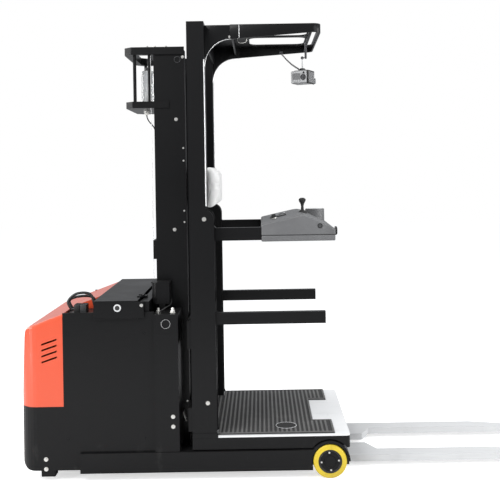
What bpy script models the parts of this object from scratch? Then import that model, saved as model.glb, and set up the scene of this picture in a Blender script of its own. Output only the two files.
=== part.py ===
"""Order picker truck: a battery chassis with two outriggers, a two-stage mast and a lifting
platform with posts, overhead guard, console, side gates and forks.

Metres, +Z up, +X towards the fork tips, +Y to the driver's left. The origin lies on the floor
under the middle of the truck's length and width.
"""

import math

import bmesh
import bpy
from mathutils import Vector

# Fits
SEAT = 0.0003          # between pieces that bear on each other
RUNNING = 0.006        # between pieces that move past each other
PIN_PLAY = 0.0005      # round a pin in its hole
WELD = 0.002           # how far welded plates run into each other

# Lengths along the truck, rear to front
BODY_LENGTH = 1.677    # rear cover to the platform's front edge
FORK_LENGTH = 1.070    # platform's front edge to the fork tips
HOOD_LENGTH = 0.227    # rear cover to the seam of the side panel
NOTCH_LENGTH = 0.1615  # seam to the battery lid
LID_LENGTH = 0.223
LID_TO_MAST = 0.073
MAST_DEPTH = 0.164
MAST_TO_POST = 0.030
POST_DEPTH = 0.088     # upper box of the post
POST_FOOT_DEPTH = 0.126
DRIVE_SETBACK = 0.2035  # rear cover to the steering axis
WHEEL_SETBACK = 0.104  # platform's front edge back to the load wheel's axle
LEG_SETBACK = 0.3095   # rear cover to the outriggers' rear ends
COLUMN_DEPTH = 0.123
COLUMN_SETBACK = 0.006  # mast's rear face to the column's

REAR = -(BODY_LENGTH + FORK_LENGTH) / 2
PLATFORM_FRONT = REAR + BODY_LENGTH
FORK_TIP = PLATFORM_FRONT + FORK_LENGTH
SEAM = REAR + HOOD_LENGTH
LID_REAR = SEAM + NOTCH_LENGTH
LID_FRONT = LID_REAR + LID_LENGTH
MAST_REAR = LID_FRONT + LID_TO_MAST
MAST_FRONT = MAST_REAR + MAST_DEPTH
POST_REAR = MAST_FRONT + MAST_TO_POST
POST_FRONT = POST_REAR + POST_DEPTH
FOOT_FRONT = POST_REAR + POST_FOOT_DEPTH
DRIVE_X = REAR + DRIVE_SETBACK
WHEEL_X = PLATFORM_FRONT - WHEEL_SETBACK
LEG_REAR = REAR + LEG_SETBACK
COLUMN_REAR = MAST_REAR + COLUMN_SETBACK
COLUMN_FRONT = COLUMN_REAR + COLUMN_DEPTH

# Half widths
LEG_OUTER = 0.450
LEG_WIDTH = 0.090
SHELL_HALF = 0.432
COLUMN_OUTER = 0.445
PLATFORM_HALF = 0.437
POST_OUTER = 0.435
POST_WIDTH = 0.109
MAST_HALF = 0.230
GUARD_HALF = 0.375

# Heights
LEG_BOTTOM = 0.043
LEG_HEIGHT = 0.101
SHELL_BOTTOM = 0.056
STEP_Z = 0.379         # seam between the skirt and the hood
PANEL_TOP = 0.853
LID_TOP = 0.913
COLUMN_TOP = 0.841
FLOOR_BOTTOM = 0.085   # underside of the chassis floor plate
FLOOR_THICK = 0.025
MAST_TOP = 2.208
INNER_TOP = 2.170
POST_TOP = 2.323
PLATFORM_BOTTOM = 0.151
DECK_Z = 0.219         # top of the platform's plate
DECK_THICK = 0.008
LIFT_STAGE = 1.350     # travel of each of the two lifting stages

LEG_TOP = LEG_BOTTOM + LEG_HEIGHT
LEG_INNER = LEG_OUTER - LEG_WIDTH
FLOOR_TOP = FLOOR_BOTTOM + FLOOR_THICK
POST_INNER = POST_OUTER - POST_WIDTH

# Wheels
LOAD_RADIUS = 0.085
LOAD_WIDTH = 0.070
LOAD_HUB_RADIUS = 0.060
LOAD_PIN_RADIUS = 0.0145
ARCH_WALL = 0.012
CHEEK = 0.012
DRIVE_RADIUS = 0.115
DRIVE_WIDTH = 0.075
DRIVE_HUB_RADIUS = 0.080

# Covers
SHELL_WALL = 0.010
CORNER_RADIUS = 0.090
SKIRT_RADIUS = 0.065
HOOD_WALL = 0.008
HOOD_LEAN = 0.029      # how far the hood's rear leans in by its top
HOOD_REAR_TOP = 0.782
HOOD_FRONT_TOP = 0.905
HOOD_EDGE = 0.016
NOTCH_Y = -0.180       # the cable notch lies to the right of this
TONGUE_LOW = 0.815     # lower edge of the part of the hood that reaches the battery lid
LOUVRES = 4
LOUVRE_PITCH = 0.030
LOUVRE_LENGTH = 0.078
LOUVRE_HEIGHT = 0.009
LOUVRE_RISE = 0.026

# Mast channels
OUTER_FLANGE = 0.014
OUTER_WEB = 0.012
OUTER_CHANNEL = 0.060
INNER_FLANGE = 0.010
INNER_WEB = 0.012
INNER_CHANNEL = 0.062
ROLLER_WIDTH = 0.040
CARRIAGE_PLATE = 0.012
SHEAVE_Y = 0.095
SHEAVE_DROP = 0.052    # top of the inner mast to the sheaves' axle
SHEAVE_GROOVE = 0.034
CHAIN_THICK = 0.010
CHAIN_WIDTH = 0.012
CHAIN_REAR_LOW = 0.300
CHAIN_FRONT_LOW = 0.700
BARREL_RADIUS = 0.042
ROD_RADIUS = 0.026
ROD_PLAY = 0.003

# Console, gates
ARM_PIVOT_X = -0.418
ARM_PIVOT_Z = 1.318
ARM_OUTER = 0.377
ARM_WIDTH = 0.037
GATE_PIVOT_X = -0.390
GATE_PIVOT_Z = 0.830
GATE_LENGTH = 0.581    # pivot to the gate's front end
GATE_HEIGHT = 0.060
PIN_RADIUS = 0.012

PAINTS = {
    # name: (colour, roughness, metallic)
    "black_paint": ((0.018, 0.018, 0.020), 0.42, 0.0),
    "orange_paint": ((0.80, 0.085, 0.025), 0.35, 0.0),
    "light_paint": ((0.72, 0.73, 0.74), 0.45, 0.0),
    "grey_plastic": ((0.085, 0.088, 0.092), 0.55, 0.0),
    "black_plastic": ((0.02, 0.02, 0.02), 0.5, 0.0),
    "black_rubber": ((0.025, 0.025, 0.025), 0.85, 0.0),
    "yellow_tyre": ((0.83, 0.62, 0.06), 0.5, 0.0),
    "black_tyre": ((0.03, 0.03, 0.03), 0.8, 0.0),
    "bright_steel": ((0.62, 0.62, 0.64), 0.25, 1.0),
    "dark_steel": ((0.12, 0.12, 0.13), 0.4, 1.0),
    "clear_lens": ((0.80, 0.82, 0.84), 0.1, 0.0),
    "pad_cover": ((0.75, 0.74, 0.72), 0.6, 0.0),
    "red_plastic": ((0.60, 0.05, 0.03), 0.45, 0.0),
    "pale_plastic": ((0.70, 0.71, 0.72), 0.45, 0.0),
}


def clear_scene():
    for thing in list(bpy.data.objects):
        bpy.data.objects.remove(thing)


def paint(body, name):
    colour, roughness, metallic = PAINTS[name]
    coat = bpy.data.materials.get(name)
    if coat is None:
        coat = bpy.data.materials.new(name)
        coat.use_nodes = True
        shader = coat.node_tree.nodes["Principled BSDF"]
        shader.inputs["Base Color"].default_value = (*colour, 1.0)
        shader.inputs["Roughness"].default_value = roughness
        shader.inputs["Metallic"].default_value = metallic
        coat.diffuse_color = (*colour, 1.0)
    body.data.materials.clear()
    body.data.materials.append(coat)
    return body


def solid(name, shape):
    """Turns a finished bmesh into an object with its faces pointing out."""
    bmesh.ops.recalc_face_normals(shape, faces=shape.faces)
    mesh = bpy.data.meshes.new(name)
    shape.to_mesh(mesh)
    shape.free()
    body = bpy.data.objects.new(name, mesh)
    bpy.context.scene.collection.objects.link(body)
    return body


def prism(name, outline, axis, low, high):
    """A flat outline swept along x, y or z. The outline's pairs are the other two axes in order."""
    order = {"x": (2, 0, 1), "y": (0, 2, 1), "z": (0, 1, 2)}[axis]
    shape = bmesh.new()
    rims = []
    for level in (low, high):
        rims.append([shape.verts.new([(a, b, level)[k] for k in order]) for a, b in outline])
    shape.faces.new(rims[0])
    shape.faces.new(rims[1])
    count = len(outline)
    for k in range(count):
        following = (k + 1) % count
        shape.faces.new((rims[0][k], rims[0][following], rims[1][following], rims[1][k]))
    return solid(name, shape)


def block(name, x, y, z):
    """A box from its low and high x, y and z."""
    return prism(name, [(x[0], y[0]), (x[1], y[0]), (x[1], y[1]), (x[0], y[1])], "z", *z)


def turned(name, profile, centre, axis, steps=32, ring=False):
    """A profile of (radius, distance along) pairs turned about an axis through centre."""
    turn = Vector(axis).to_track_quat("Z", "Y")
    middle = Vector(centre)
    shape = bmesh.new()
    rims = []
    for radius, along in profile:
        places = steps if radius > 0 else 1
        rim = []
        for k in range(places):
            angle = 2 * math.pi * k / steps
            place = Vector((radius * math.cos(angle), radius * math.sin(angle), along))
            rim.append(shape.verts.new(middle + turn @ place))
        rims.append(rim)
    pairs = list(zip(rims, rims[1:]))
    if ring:
        pairs.append((rims[-1], rims[0]))
    for one, two in pairs:
        for k in range(steps):
            nxt = (k + 1) % steps
            if len(one) == 1:
                shape.faces.new((one[0], two[k], two[nxt]))
            elif len(two) == 1:
                shape.faces.new((one[k], two[0], one[nxt]))
            else:
                shape.faces.new((one[k], one[nxt], two[nxt], two[k]))
    return solid(name, shape)


def rod(name, radius, start, end, steps=16):
    """A plain round bar between two points."""
    span = Vector(end) - Vector(start)
    profile = [(0, 0), (radius, 0), (radius, span.length), (0, span.length)]
    return turned(name, profile, start, span, steps)


def arc(centre, radius, start, end, steps):
    """Points on an arc, in degrees, ends included."""
    points = []
    for k in range(steps + 1):
        angle = math.radians(start + (end - start) * k / steps)
        points.append((centre[0] + radius * math.cos(angle), centre[1] + radius * math.sin(angle)))
    return points


def combine(body, tool, operation):
    step = body.modifiers.new(operation.lower(), "BOOLEAN")
    step.operation = operation
    step.object = tool
    step.solver = "EXACT"
    with bpy.context.temp_override(object=body, active_object=body, selected_objects=[body]):
        bpy.ops.object.modifier_apply(modifier=step.name)
    bpy.data.objects.remove(tool)
    return body


def cut(body, *tools):
    for tool in tools:
        combine(body, tool, "DIFFERENCE")
    return body


def fuse(body, *tools):
    for tool in tools:
        combine(body, tool, "UNION")
    return body


def keep_inside(body, tool):
    return combine(body, tool, "INTERSECT")


def round_edges(body, width, segments, chosen):
    """Bevels the edges that a test on (middle, normals of the two faces) picks."""
    shape = bmesh.new()
    shape.from_mesh(body.data)
    bmesh.ops.dissolve_limit(shape, angle_limit=0.002, verts=shape.verts, edges=shape.edges)
    picked = []
    for edge in shape.edges:
        if len(edge.link_faces) != 2:
            continue
        middle = (edge.verts[0].co + edge.verts[1].co) / 2
        if chosen(middle, [face.normal for face in edge.link_faces]):
            picked.append(edge)
    bmesh.ops.bevel(shape, geom=picked, offset=width, segments=segments, profile=0.5,
                    affect="EDGES", clamp_overlap=True)
    shape.to_mesh(body.data)
    shape.free()
    return body


def smooth(body, angle=35):
    body.data.shade_smooth()
    body.data.set_sharp_from_angle(angle=math.radians(angle))
    return body


def pivot(name, place, parent=None):
    """An empty on a joint's axis that carries the pieces of one moving body."""
    empty = bpy.data.objects.new(name, None)
    bpy.context.scene.collection.objects.link(empty)
    empty.location = place
    if parent is not None:
        empty.parent = parent
        empty.location = Vector(place) - parent.matrix_world.translation
    bpy.context.view_layer.update()
    return empty


def hang(carrier, *bodies):
    for body in bodies:
        body.parent = carrier
        body.location = -carrier.matrix_world.translation


def sides():
    """Right and left: (name, sign of y)."""
    return (("right", -1), ("left", 1))


def span(sign, inner, outer):
    """Low and high y of a band that lies between two distances from the middle."""
    return tuple(sorted((sign * inner, sign * outer)))


def plan_outline(inset, front):
    """The rear cover's outline from above: square front, two round rear corners."""
    half = SHELL_HALF - inset
    rear = REAR + inset
    radius = CORNER_RADIUS - inset
    points = [(front, -half), (front, half)]
    points += arc((rear + radius, half - radius), radius, 90, 180, 8)
    points += arc((rear + radius, -half + radius), radius, 180, 270, 8)
    return points


# Chassis

def make_outrigger(side, sign):
    arch_outer = LOAD_RADIUS + RUNNING + ARCH_WALL
    arch_inner = LOAD_RADIUS + RUNNING
    leg_end = WHEEL_X - math.sqrt(arch_inner ** 2 - (LOAD_RADIUS - LEG_BOTTOM) ** 2)
    wall = 0.008
    name = f"outrigger_{side}"
    leg = block(name, (LEG_REAR, WHEEL_X), span(sign, LEG_INNER, LEG_OUTER), (LEG_BOTTOM, LEG_TOP))
    axle_z = LOAD_RADIUS
    housing = arc((WHEEL_X, axle_z), arch_outer, 180, 0, 18)
    low_front = (WHEEL_X + arch_outer, LEG_BOTTOM)
    low_rear = (WHEEL_X - arch_outer, LEG_BOTTOM)
    fuse(leg, prism("arch", [low_rear] + housing + [low_front], "y",
                    *span(sign, LEG_INNER, LEG_OUTER)))
    room = turned("room", [(0, 0), (arch_inner, 0), (arch_inner, LEG_WIDTH), (0, LEG_WIDTH)],
                  (WHEEL_X, sign * (LEG_INNER + CHEEK), axle_z), (0, sign, 0), 40)
    cut(leg, room)
    cut(leg, block("under", (WHEEL_X - arch_inner + 0.004, WHEEL_X + 0.2),
                   span(sign, LEG_INNER + CHEEK, LEG_OUTER + 0.01), (0.0, axle_z)))
    hollow = block("hollow", (LEG_REAR + wall, leg_end - 0.02),
                   span(sign, LEG_INNER + wall, LEG_OUTER - wall), (0.0, LEG_TOP - wall))
    cut(leg, hollow)
    pin = rod("pin", LOAD_PIN_RADIUS, (WHEEL_X, sign * (LEG_INNER + CHEEK / 2), axle_z),
              (WHEEL_X, sign * (LEG_OUTER - 0.020), axle_z), 20)
    fuse(leg, pin)
    return paint(smooth(leg), "black_paint")


def make_load_wheel(side, sign):
    outer = LEG_OUTER + 0.001
    inner = outer - LOAD_WIDTH
    edge = 0.005
    tyre = turned(f"load_tyre_{side}", [
        (LOAD_HUB_RADIUS + SEAT, 0), (LOAD_RADIUS - edge, 0), (LOAD_RADIUS, edge),
        (LOAD_RADIUS, LOAD_WIDTH - edge), (LOAD_RADIUS - edge, LOAD_WIDTH),
        (LOAD_HUB_RADIUS + SEAT, LOAD_WIDTH)],
        (WHEEL_X, sign * inner, LOAD_RADIUS), (0, sign, 0), 48, ring=True)
    bore = LOAD_PIN_RADIUS + PIN_PLAY
    bore_depth = LEG_OUTER - 0.020 + PIN_PLAY - inner
    face = LOAD_WIDTH - 0.004
    hub = turned(f"load_hub_{side}", [
        (0, bore_depth), (bore, bore_depth), (bore, 0.002), (LOAD_HUB_RADIUS, 0.002),
        (LOAD_HUB_RADIUS, face), (0.030, face), (0.028, LOAD_WIDTH), (0, LOAD_WIDTH)],
        (WHEEL_X, sign * inner, LOAD_RADIUS), (0, sign, 0), 40)
    carrier = pivot(f"load_wheel_{side}_axle", (WHEEL_X, sign * (inner + LOAD_WIDTH / 2), LOAD_RADIUS))
    paint(smooth(tyre), "yellow_tyre")
    paint(smooth(hub), "black_paint")
    hang(carrier, tyre, hub)


BULKHEAD_X = DRIVE_X + 0.140
STEER_SHAFT = 0.034
BULKHEAD_THICK = 0.006
MOUNT_BOTTOM = 0.331
MOUNT_THICK = 0.014


def make_frame():
    frame = block("chassis_frame", (BULKHEAD_X, MAST_FRONT + 0.020),
                  (-LEG_INNER + SEAT, LEG_INNER - SEAT), (FLOOR_BOTTOM, FLOOR_TOP))
    bulk_outer = SHELL_HALF - SHELL_WALL - SEAT
    low = FLOOR_TOP - WELD
    step = LEG_TOP + SEAT
    step_y = LEG_INNER - SEAT
    outline = [(-step_y, low), (step_y, low), (step_y, step), (bulk_outer, step),
               (bulk_outer, 0.80), (-bulk_outer, 0.80), (-bulk_outer, step), (-step_y, step)]
    fuse(frame, prism("bulkhead", outline, "x", BULKHEAD_X, BULKHEAD_X + BULKHEAD_THICK))
    reach = SHELL_HALF - SHELL_WALL - SEAT
    front = BULKHEAD_X + WELD
    fuse(frame, prism("drive_mount", [
        (REAR + 0.060, -reach + 0.060), (REAR + 0.120, -reach), (front, -reach),
        (front, reach), (REAR + 0.120, reach), (REAR + 0.060, reach - 0.060)],
        "z", MOUNT_BOTTOM, MOUNT_BOTTOM + MOUNT_THICK))
    cut(frame, rod("hole", STEER_SHAFT + PIN_PLAY, (DRIVE_X, 0, 0.3), (DRIVE_X, 0, 0.4), 32))
    return paint(frame, "black_paint")


FOOT_X = REAR + 0.107
FOOT_LENGTH = 0.070
FOOT_DROP = 0.023
SHELF_TOP = 0.836


def skirt_profile(inset, bottom, top, front):
    """Side view of the rear cover with its round lower rear edge."""
    rear = REAR + inset
    radius = SKIRT_RADIUS - inset
    low = SHELL_BOTTOM + inset
    points = [(front, bottom), (front, top), (rear, top)]
    points += arc((rear + radius, low + radius), radius, 180, 270, 8)
    if bottom < low:
        points.append((rear + radius, bottom))
    return points


def make_shell():
    front = COLUMN_REAR - SEAT
    shell = prism("body_shell", plan_outline(0, front), "z", SHELL_BOTTOM, PANEL_TOP)
    profile = skirt_profile(0, SHELL_BOTTOM, PANEL_TOP + 0.1, front + 0.1)
    keep_inside(shell, prism("side_view", profile, "y", -0.6, 0.6))
    room = prism("room", plan_outline(SHELL_WALL, front + 0.1), "z", 0.0, PANEL_TOP + 0.1)
    inner = skirt_profile(SHELL_WALL, 0.0, PANEL_TOP + 0.2, front + 0.2)
    keep_inside(room, prism("side_view", inner, "y", -0.6, 0.6))
    cut(shell, room)
    cut(shell, block("hood_place", (REAR - 0.1, SEAM), (-0.6, 0.6), (STEP_Z, 1.0)))
    cut(shell, block("leg_place", (LEG_REAR - SEAT, front + 0.1), (-0.6, 0.6), (0.0, LEG_TOP + SEAT)))
    inner = SHELL_HALF - SHELL_WALL + WELD
    for side, sign in sides():
        fuse(shell, block("foot", (FOOT_X, FOOT_X + FOOT_LENGTH), span(sign, inner - 0.060, inner),
                          (FOOT_DROP, SHELL_BOTTOM - 0.004)))
        fuse(shell, block("foot_plate", (FOOT_X, FOOT_X + FOOT_LENGTH), span(sign, inner - 0.012, inner),
                          (FOOT_DROP, 0.160)))
    fuse(shell, block("connector_shelf", (SEAM - 0.002, LID_REAR - RUNNING - 0.001), (-inner, NOTCH_Y - SEAT),
                      (SHELF_TOP - 0.008, SHELF_TOP)))
    return paint(smooth(shell), "black_paint")


def hood_slope(x):
    rise = (HOOD_FRONT_TOP - HOOD_REAR_TOP) / (LID_REAR - RUNNING - (REAR + HOOD_LEAN + 0.016))
    return HOOD_REAR_TOP + rise * (x - (REAR + HOOD_LEAN + 0.016))


def hood_side(inset, bottom, front):
    """Side view of the hood's rear part."""
    crest_x = REAR + HOOD_LEAN + 0.016
    return [(REAR + 0.002 + inset, bottom), (front, bottom), (front, hood_slope(front) - inset),
            (crest_x, hood_slope(crest_x) - inset),
            (REAR + HOOD_LEAN + inset, hood_slope(crest_x) - inset - 0.014)]


def make_hood():
    low = STEP_Z + SEAT
    front = LID_REAR - RUNNING
    back = SEAM - SEAT
    hood = prism("rear_hood", plan_outline(0, back), "z", low - 0.01, 1.2)
    keep_inside(hood, prism("side_view", hood_side(0, low, SEAM + 0.1), "y", -0.6, 0.6))

    def top_rim(middle, normals):
        up = [normal.z > 0.5 for normal in normals]
        flat = [abs(normal.z) < 0.3 for normal in normals]
        ahead = any(normal.x > 0.9 for normal in normals)
        return (up[0] and flat[1] or up[1] and flat[0]) and not ahead

    round_edges(hood, HOOD_EDGE, 3, top_rim)
    tongue_outer = SHELL_HALF - SHELL_WALL - SEAT
    root = back - 0.030
    tongue = prism("tongue", [
        (root, TONGUE_LOW), (front, TONGUE_LOW), (front, hood_slope(front) - SEAT),
        (root, hood_slope(root) - SEAT)], "y", NOTCH_Y, tongue_outer)
    fuse(hood, tongue)
    room = prism("room", plan_outline(HOOD_WALL, back + SEAT / 2), "z", 0.2, 1.2)
    keep_inside(room, prism("side_view", hood_side(HOOD_WALL, 0.25, SEAM + 0.1), "y", -0.7, 0.7))
    slope_front = front - HOOD_WALL
    slope_rear = back - 0.060
    drop = HOOD_WALL + 0.001
    under = prism("under", [
        (slope_rear, 0.7), (slope_front, 0.7), (slope_front, hood_slope(slope_front) - drop),
        (slope_rear, hood_slope(slope_rear) - drop)], "y", NOTCH_Y + HOOD_WALL, tongue_outer - HOOD_WALL)
    cut(hood, room, under)
    first_z = 0.690
    first_x = REAR + 0.118
    for sign in (-1, 1):
        for k in range(LOUVRES):
            z = first_z - k * LOUVRE_PITCH
            outline = [(first_x, z), (first_x + LOUVRE_LENGTH, z + LOUVRE_RISE),
                       (first_x + LOUVRE_LENGTH, z + LOUVRE_RISE + LOUVRE_HEIGHT),
                       (first_x, z + LOUVRE_HEIGHT)]
            cut(hood, prism("louvre", outline, "y", *span(sign, SHELL_HALF - 0.03, SHELL_HALF + 0.03)))
    return paint(smooth(hood), "orange_paint")


def make_drive():
    shaft = STEER_SHAFT
    top = MOUNT_BOTTOM + MOUNT_THICK
    motor = turned("drive_motor", [(0, 0), (0.105, 0), (0.105, 0.020), (0.085, 0.028), (0.085, 0.210),
                                   (0.075, 0.220), (0, 0.220)],
                   (DRIVE_X, 0, top + SEAT), (0, 0, 1), 40)
    paint(smooth(motor), "dark_steel")
    table_top = MOUNT_BOTTOM - RUNNING
    table = turned("steer_turntable", [(0, 0), (0.108, 0), (0.112, 0.006), (0.112, 0.024), (0.060, 0.024),
                                       (0.060, 0.024 + RUNNING - SEAT), (shaft, 0.024 + RUNNING - SEAT),
                                       (shaft, 0.024 + RUNNING + MOUNT_THICK - SEAT),
                                       (0, 0.024 + RUNNING + MOUNT_THICK - SEAT)],
                   (DRIVE_X, 0, table_top - 0.024), (0, 0, 1), 40)
    gap = 0.008
    inner = DRIVE_WIDTH / 2 + gap
    box_outline = [(DRIVE_X - 0.045, table_top - 0.010)]
    box_outline += arc((DRIVE_X, DRIVE_RADIUS), 0.052, 180, 360, 12)
    box_outline.append((DRIVE_X + 0.045, table_top - 0.010))
    fuse(table, prism("gearbox", box_outline, "y", inner, inner + 0.050))
    fuse(table, rod("axle", 0.020, (DRIVE_X, inner + 0.010, DRIVE_RADIUS),
                    (DRIVE_X, -DRIVE_WIDTH / 2 + 0.020, DRIVE_RADIUS), 20))
    paint(smooth(table), "dark_steel")
    half = DRIVE_WIDTH / 2
    edge = 0.006
    tyre = turned("drive_tyre", [
        (DRIVE_HUB_RADIUS + SEAT, -half), (DRIVE_RADIUS - edge, -half), (DRIVE_RADIUS, -half + edge),
        (DRIVE_RADIUS, half - edge), (DRIVE_RADIUS - edge, half), (DRIVE_HUB_RADIUS + SEAT, half)],
        (DRIVE_X, 0, DRIVE_RADIUS), (0, 1, 0), 48, ring=True)
    bore = 0.020 + PIN_PLAY
    hub = turned("drive_hub", [
        (0, -half + 0.019), (bore, -half + 0.019), (bore, half), (0.050, half), (0.056, half - 0.008),
        (DRIVE_HUB_RADIUS, half - 0.008), (DRIVE_HUB_RADIUS, -half + 0.004), (0.040, -half + 0.004),
        (0.036, -half), (0, -half)],
        (DRIVE_X, 0, DRIVE_RADIUS), (0, 1, 0), 40)
    paint(smooth(tyre), "black_tyre")
    paint(smooth(hub), "dark_steel")
    steer = pivot("steer_axis", (DRIVE_X, 0, table_top))
    roll = pivot("drive_axle", (DRIVE_X, 0, DRIVE_RADIUS), steer)
    hang(steer, table)
    hang(roll, tyre, hub)


HINGE_X = LID_FRONT + 0.008
HINGE_Z = LID_TOP + 0.004
HINGE_PIN = 0.003
HINGE_RADIUS = 0.006
HINGE_YS = (-0.28, 0.28)
KNUCKLE = 0.020
LID_HALF = 0.446
LID_SHEET = 0.008


def make_battery_bay():
    battery = block("battery", (BULKHEAD_X + BULKHEAD_THICK + 0.008, LID_FRONT),
                    (-0.350, 0.350), (FLOOR_TOP + SEAT, 0.800))
    paint(battery, "black_plastic")
    reach = SHELL_HALF - SHELL_WALL - SEAT
    front = MAST_REAR - 0.018 - SEAT
    beam = block("hinge_beam", (HINGE_X + 0.004, front), (-reach, reach), (0.780, LID_TOP - LID_SHEET))
    cut(beam, block("hollow", (HINGE_X + 0.010, front - 0.006), (-reach + 0.006, reach - 0.006),
                    (0.7, LID_TOP - LID_SHEET - 0.006)))
    for y in HINGE_YS:
        low, high = y - KNUCKLE, y + KNUCKLE
        fuse(beam, block("leaf", (HINGE_X, HINGE_X + 0.020), (low, high),
                         (LID_TOP - LID_SHEET - 0.004, HINGE_Z)))
        fuse(beam, rod("barrel", HINGE_RADIUS, (HINGE_X, low, HINGE_Z), (HINGE_X, high, HINGE_Z), 12))
        fuse(beam, rod("pin", HINGE_PIN, (HINGE_X, y - 2 * KNUCKLE, HINGE_Z),
                       (HINGE_X, y + 2 * KNUCKLE, HINGE_Z), 12))
    paint(smooth(beam), "black_paint")

    lid = block("battery_lid", (LID_REAR, LID_FRONT), (-LID_HALF, LID_HALF), (0.820, LID_TOP))
    cut(lid, block("hollow", (LID_REAR - 0.1, LID_FRONT + 0.1), (-LID_HALF + 0.008, LID_HALF - 0.008),
                   (0.7, LID_TOP - LID_SHEET)))
    for y in HINGE_YS:
        for low in (y - 2 * KNUCKLE - PIN_PLAY, y + KNUCKLE + PIN_PLAY):
            fuse(lid, block("leaf", (LID_FRONT - 0.020, HINGE_X), (low, low + KNUCKLE),
                            (LID_TOP - 0.002, HINGE_Z + 0.001)))
            fuse(lid, rod("barrel", HINGE_RADIUS, (HINGE_X, low, HINGE_Z),
                          (HINGE_X, low + KNUCKLE, HINGE_Z), 12))
        cut(lid, rod("bore", HINGE_PIN + PIN_PLAY, (HINGE_X, y - 3 * KNUCKLE, HINGE_Z),
                     (HINGE_X, y + 3 * KNUCKLE, HINGE_Z), 12))
    for sign in (-1, 1):
        ring = turned("lock", [(0.012, 0), (0.025, 0), (0.025, 0.004), (0.012, 0.004)],
                      (LID_REAR + 0.120, sign * (LID_HALF - 0.001), 0.877), (0, sign, 0), 28, ring=True)
        fuse(lid, ring)
    paint(smooth(lid), "black_paint")
    hang(pivot("lid_hinge_axis", (HINGE_X, 0, HINGE_Z)), lid)


def make_connector():
    base = SHELF_TOP + SEAT
    connector = block("battery_connector", (SEAM + 0.040, SEAM + 0.105), (-0.345, -0.285), (base, base + 0.045))
    paint(connector, "pale_plastic")
    # Each cable leaves the connector's rear end, arches over it and goes down through the shelf.
    # columns: name, y at the connector, y at the shelf, height of the arch
    for name, y0, y1, crest in (("battery_cable_a", -0.330, -0.300, 0.935),
                                ("battery_cable_b", -0.300, -0.255, 0.915)):
        radius = 0.007
        start = Vector((SEAM + 0.040 - SEAT, y0, base + 0.022))
        end = Vector((LID_REAR - 0.022, y1, base + SEAT))
        route = [start, start + Vector((-0.008, 0, 0)), start + Vector((-0.016, 0, 0)),
                 Vector((SEAM + 0.008, y0, base + 0.062)),
                 Vector((SEAM + 0.050, (y0 + y1) / 2, crest)), Vector((LID_REAR - 0.045, y1, crest - 0.006)),
                 end + Vector((0, 0, 0.030)), end + Vector((0, 0, 0.015)), end]
        make_cable(name, route, radius)


def make_cable(name, route, radius):
    """A round cable along a smooth curve through the points of its route."""
    points = []
    count = len(route)
    for k in range(count - 1):
        before = route[max(k - 1, 0)]
        after = route[min(k + 2, count - 1)]
        one, two = route[k], route[k + 1]
        steps = 5
        for j in range(steps):
            t = j / steps
            points.append(0.5 * ((2 * one) + (two - before) * t
                                 + (2 * before - 5 * one + 4 * two - after) * t * t
                                 + (3 * one - before - 3 * two + after) * t ** 3))
    points.append(route[-1])
    curve = bpy.data.curves.new(name, "CURVE")
    curve.dimensions = "3D"
    curve.bevel_depth = radius
    curve.bevel_resolution = 2
    curve.use_fill_caps = True
    line = curve.splines.new("POLY")
    line.points.add(len(points) - 1)
    for place, point in zip(line.points, points):
        place.co = (*point, 1.0)
    cable = bpy.data.objects.new(name, curve)
    bpy.context.scene.collection.objects.link(cable)
    paint(cable, "black_rubber")
    return cable


def make_column(side, sign):
    wall = 0.010
    inner = MAST_HALF + SEAT
    column = block(f"mast_column_{side}", (COLUMN_REAR, COLUMN_FRONT), span(sign, inner, COLUMN_OUTER),
                   (LEG_TOP + SEAT, COLUMN_TOP))
    cut(column, block("hollow", (COLUMN_REAR + wall, COLUMN_FRONT - wall),
                      span(sign, inner + wall, COLUMN_OUTER - wall), (0.0, COLUMN_TOP - wall)))
    depth = 0.094
    width = 0.095
    low = 0.876
    high = 0.988
    start = MAST_REAR - 0.018
    corner = 0.030
    outer_y = MAST_HALF + SEAT + width
    outline = [(start + depth, MAST_HALF + SEAT), (start + depth, outer_y)]
    outline += arc((start + corner, outer_y - corner), corner, 90, 180, 6)
    outline.append((start, MAST_HALF + SEAT))
    outline = [(x, sign * y) for x, y in outline]
    cover = prism("hose_cover", outline, "z", low, high)
    inset = [(start + depth - 0.004, MAST_HALF - 0.05), (start + depth - 0.004, outer_y - 0.004)]
    inset += arc((start + corner, outer_y - corner), corner - 0.004, 90, 180, 6)
    inset.append((start + 0.004, MAST_HALF - 0.05))
    cut(cover, prism("hollow", [(x, sign * y) for x, y in inset], "z", low - 0.1, high - 0.004))
    fuse(cover, block("foot", (start + 0.040, start + 0.070), span(sign, outer_y - 0.012, outer_y - 0.002),
                      (COLUMN_TOP - WELD, low + 0.010)))
    fuse(column, cover)
    return paint(smooth(column), "black_paint")


# Mast

def channel_outline(sign, low_x, high_x, outer_y, web, flange, reach):
    """Plan of a channel whose web is outside and whose flanges point to the middle."""
    inner_y = outer_y - reach
    pairs = [(low_x, outer_y), (high_x, outer_y), (high_x, inner_y), (high_x - flange, inner_y),
             (high_x - flange, outer_y - web), (low_x + flange, outer_y - web),
             (low_x + flange, inner_y), (low_x, inner_y)]
    return [(x, sign * y) for x, y in pairs]


INNER_RAIL_REAR = MAST_REAR + OUTER_FLANGE + RUNNING + 0.001
INNER_RAIL_FRONT = MAST_FRONT - OUTER_FLANGE - RUNNING - 0.001
INNER_RAIL_OUTER = MAST_HALF - OUTER_WEB - RUNNING
INNER_RAIL_INNER = INNER_RAIL_OUTER - INNER_CHANNEL
INNER_BOTTOM = FLOOR_TOP + 0.015
MAST_MIDDLE = (MAST_REAR + MAST_FRONT) / 2
CAGE_LENGTH = 0.156    # ring behind the mast
CAGE_CHAMFER = 0.040
CAGE_HALF = MAST_HALF + SEAT + 0.010


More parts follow.
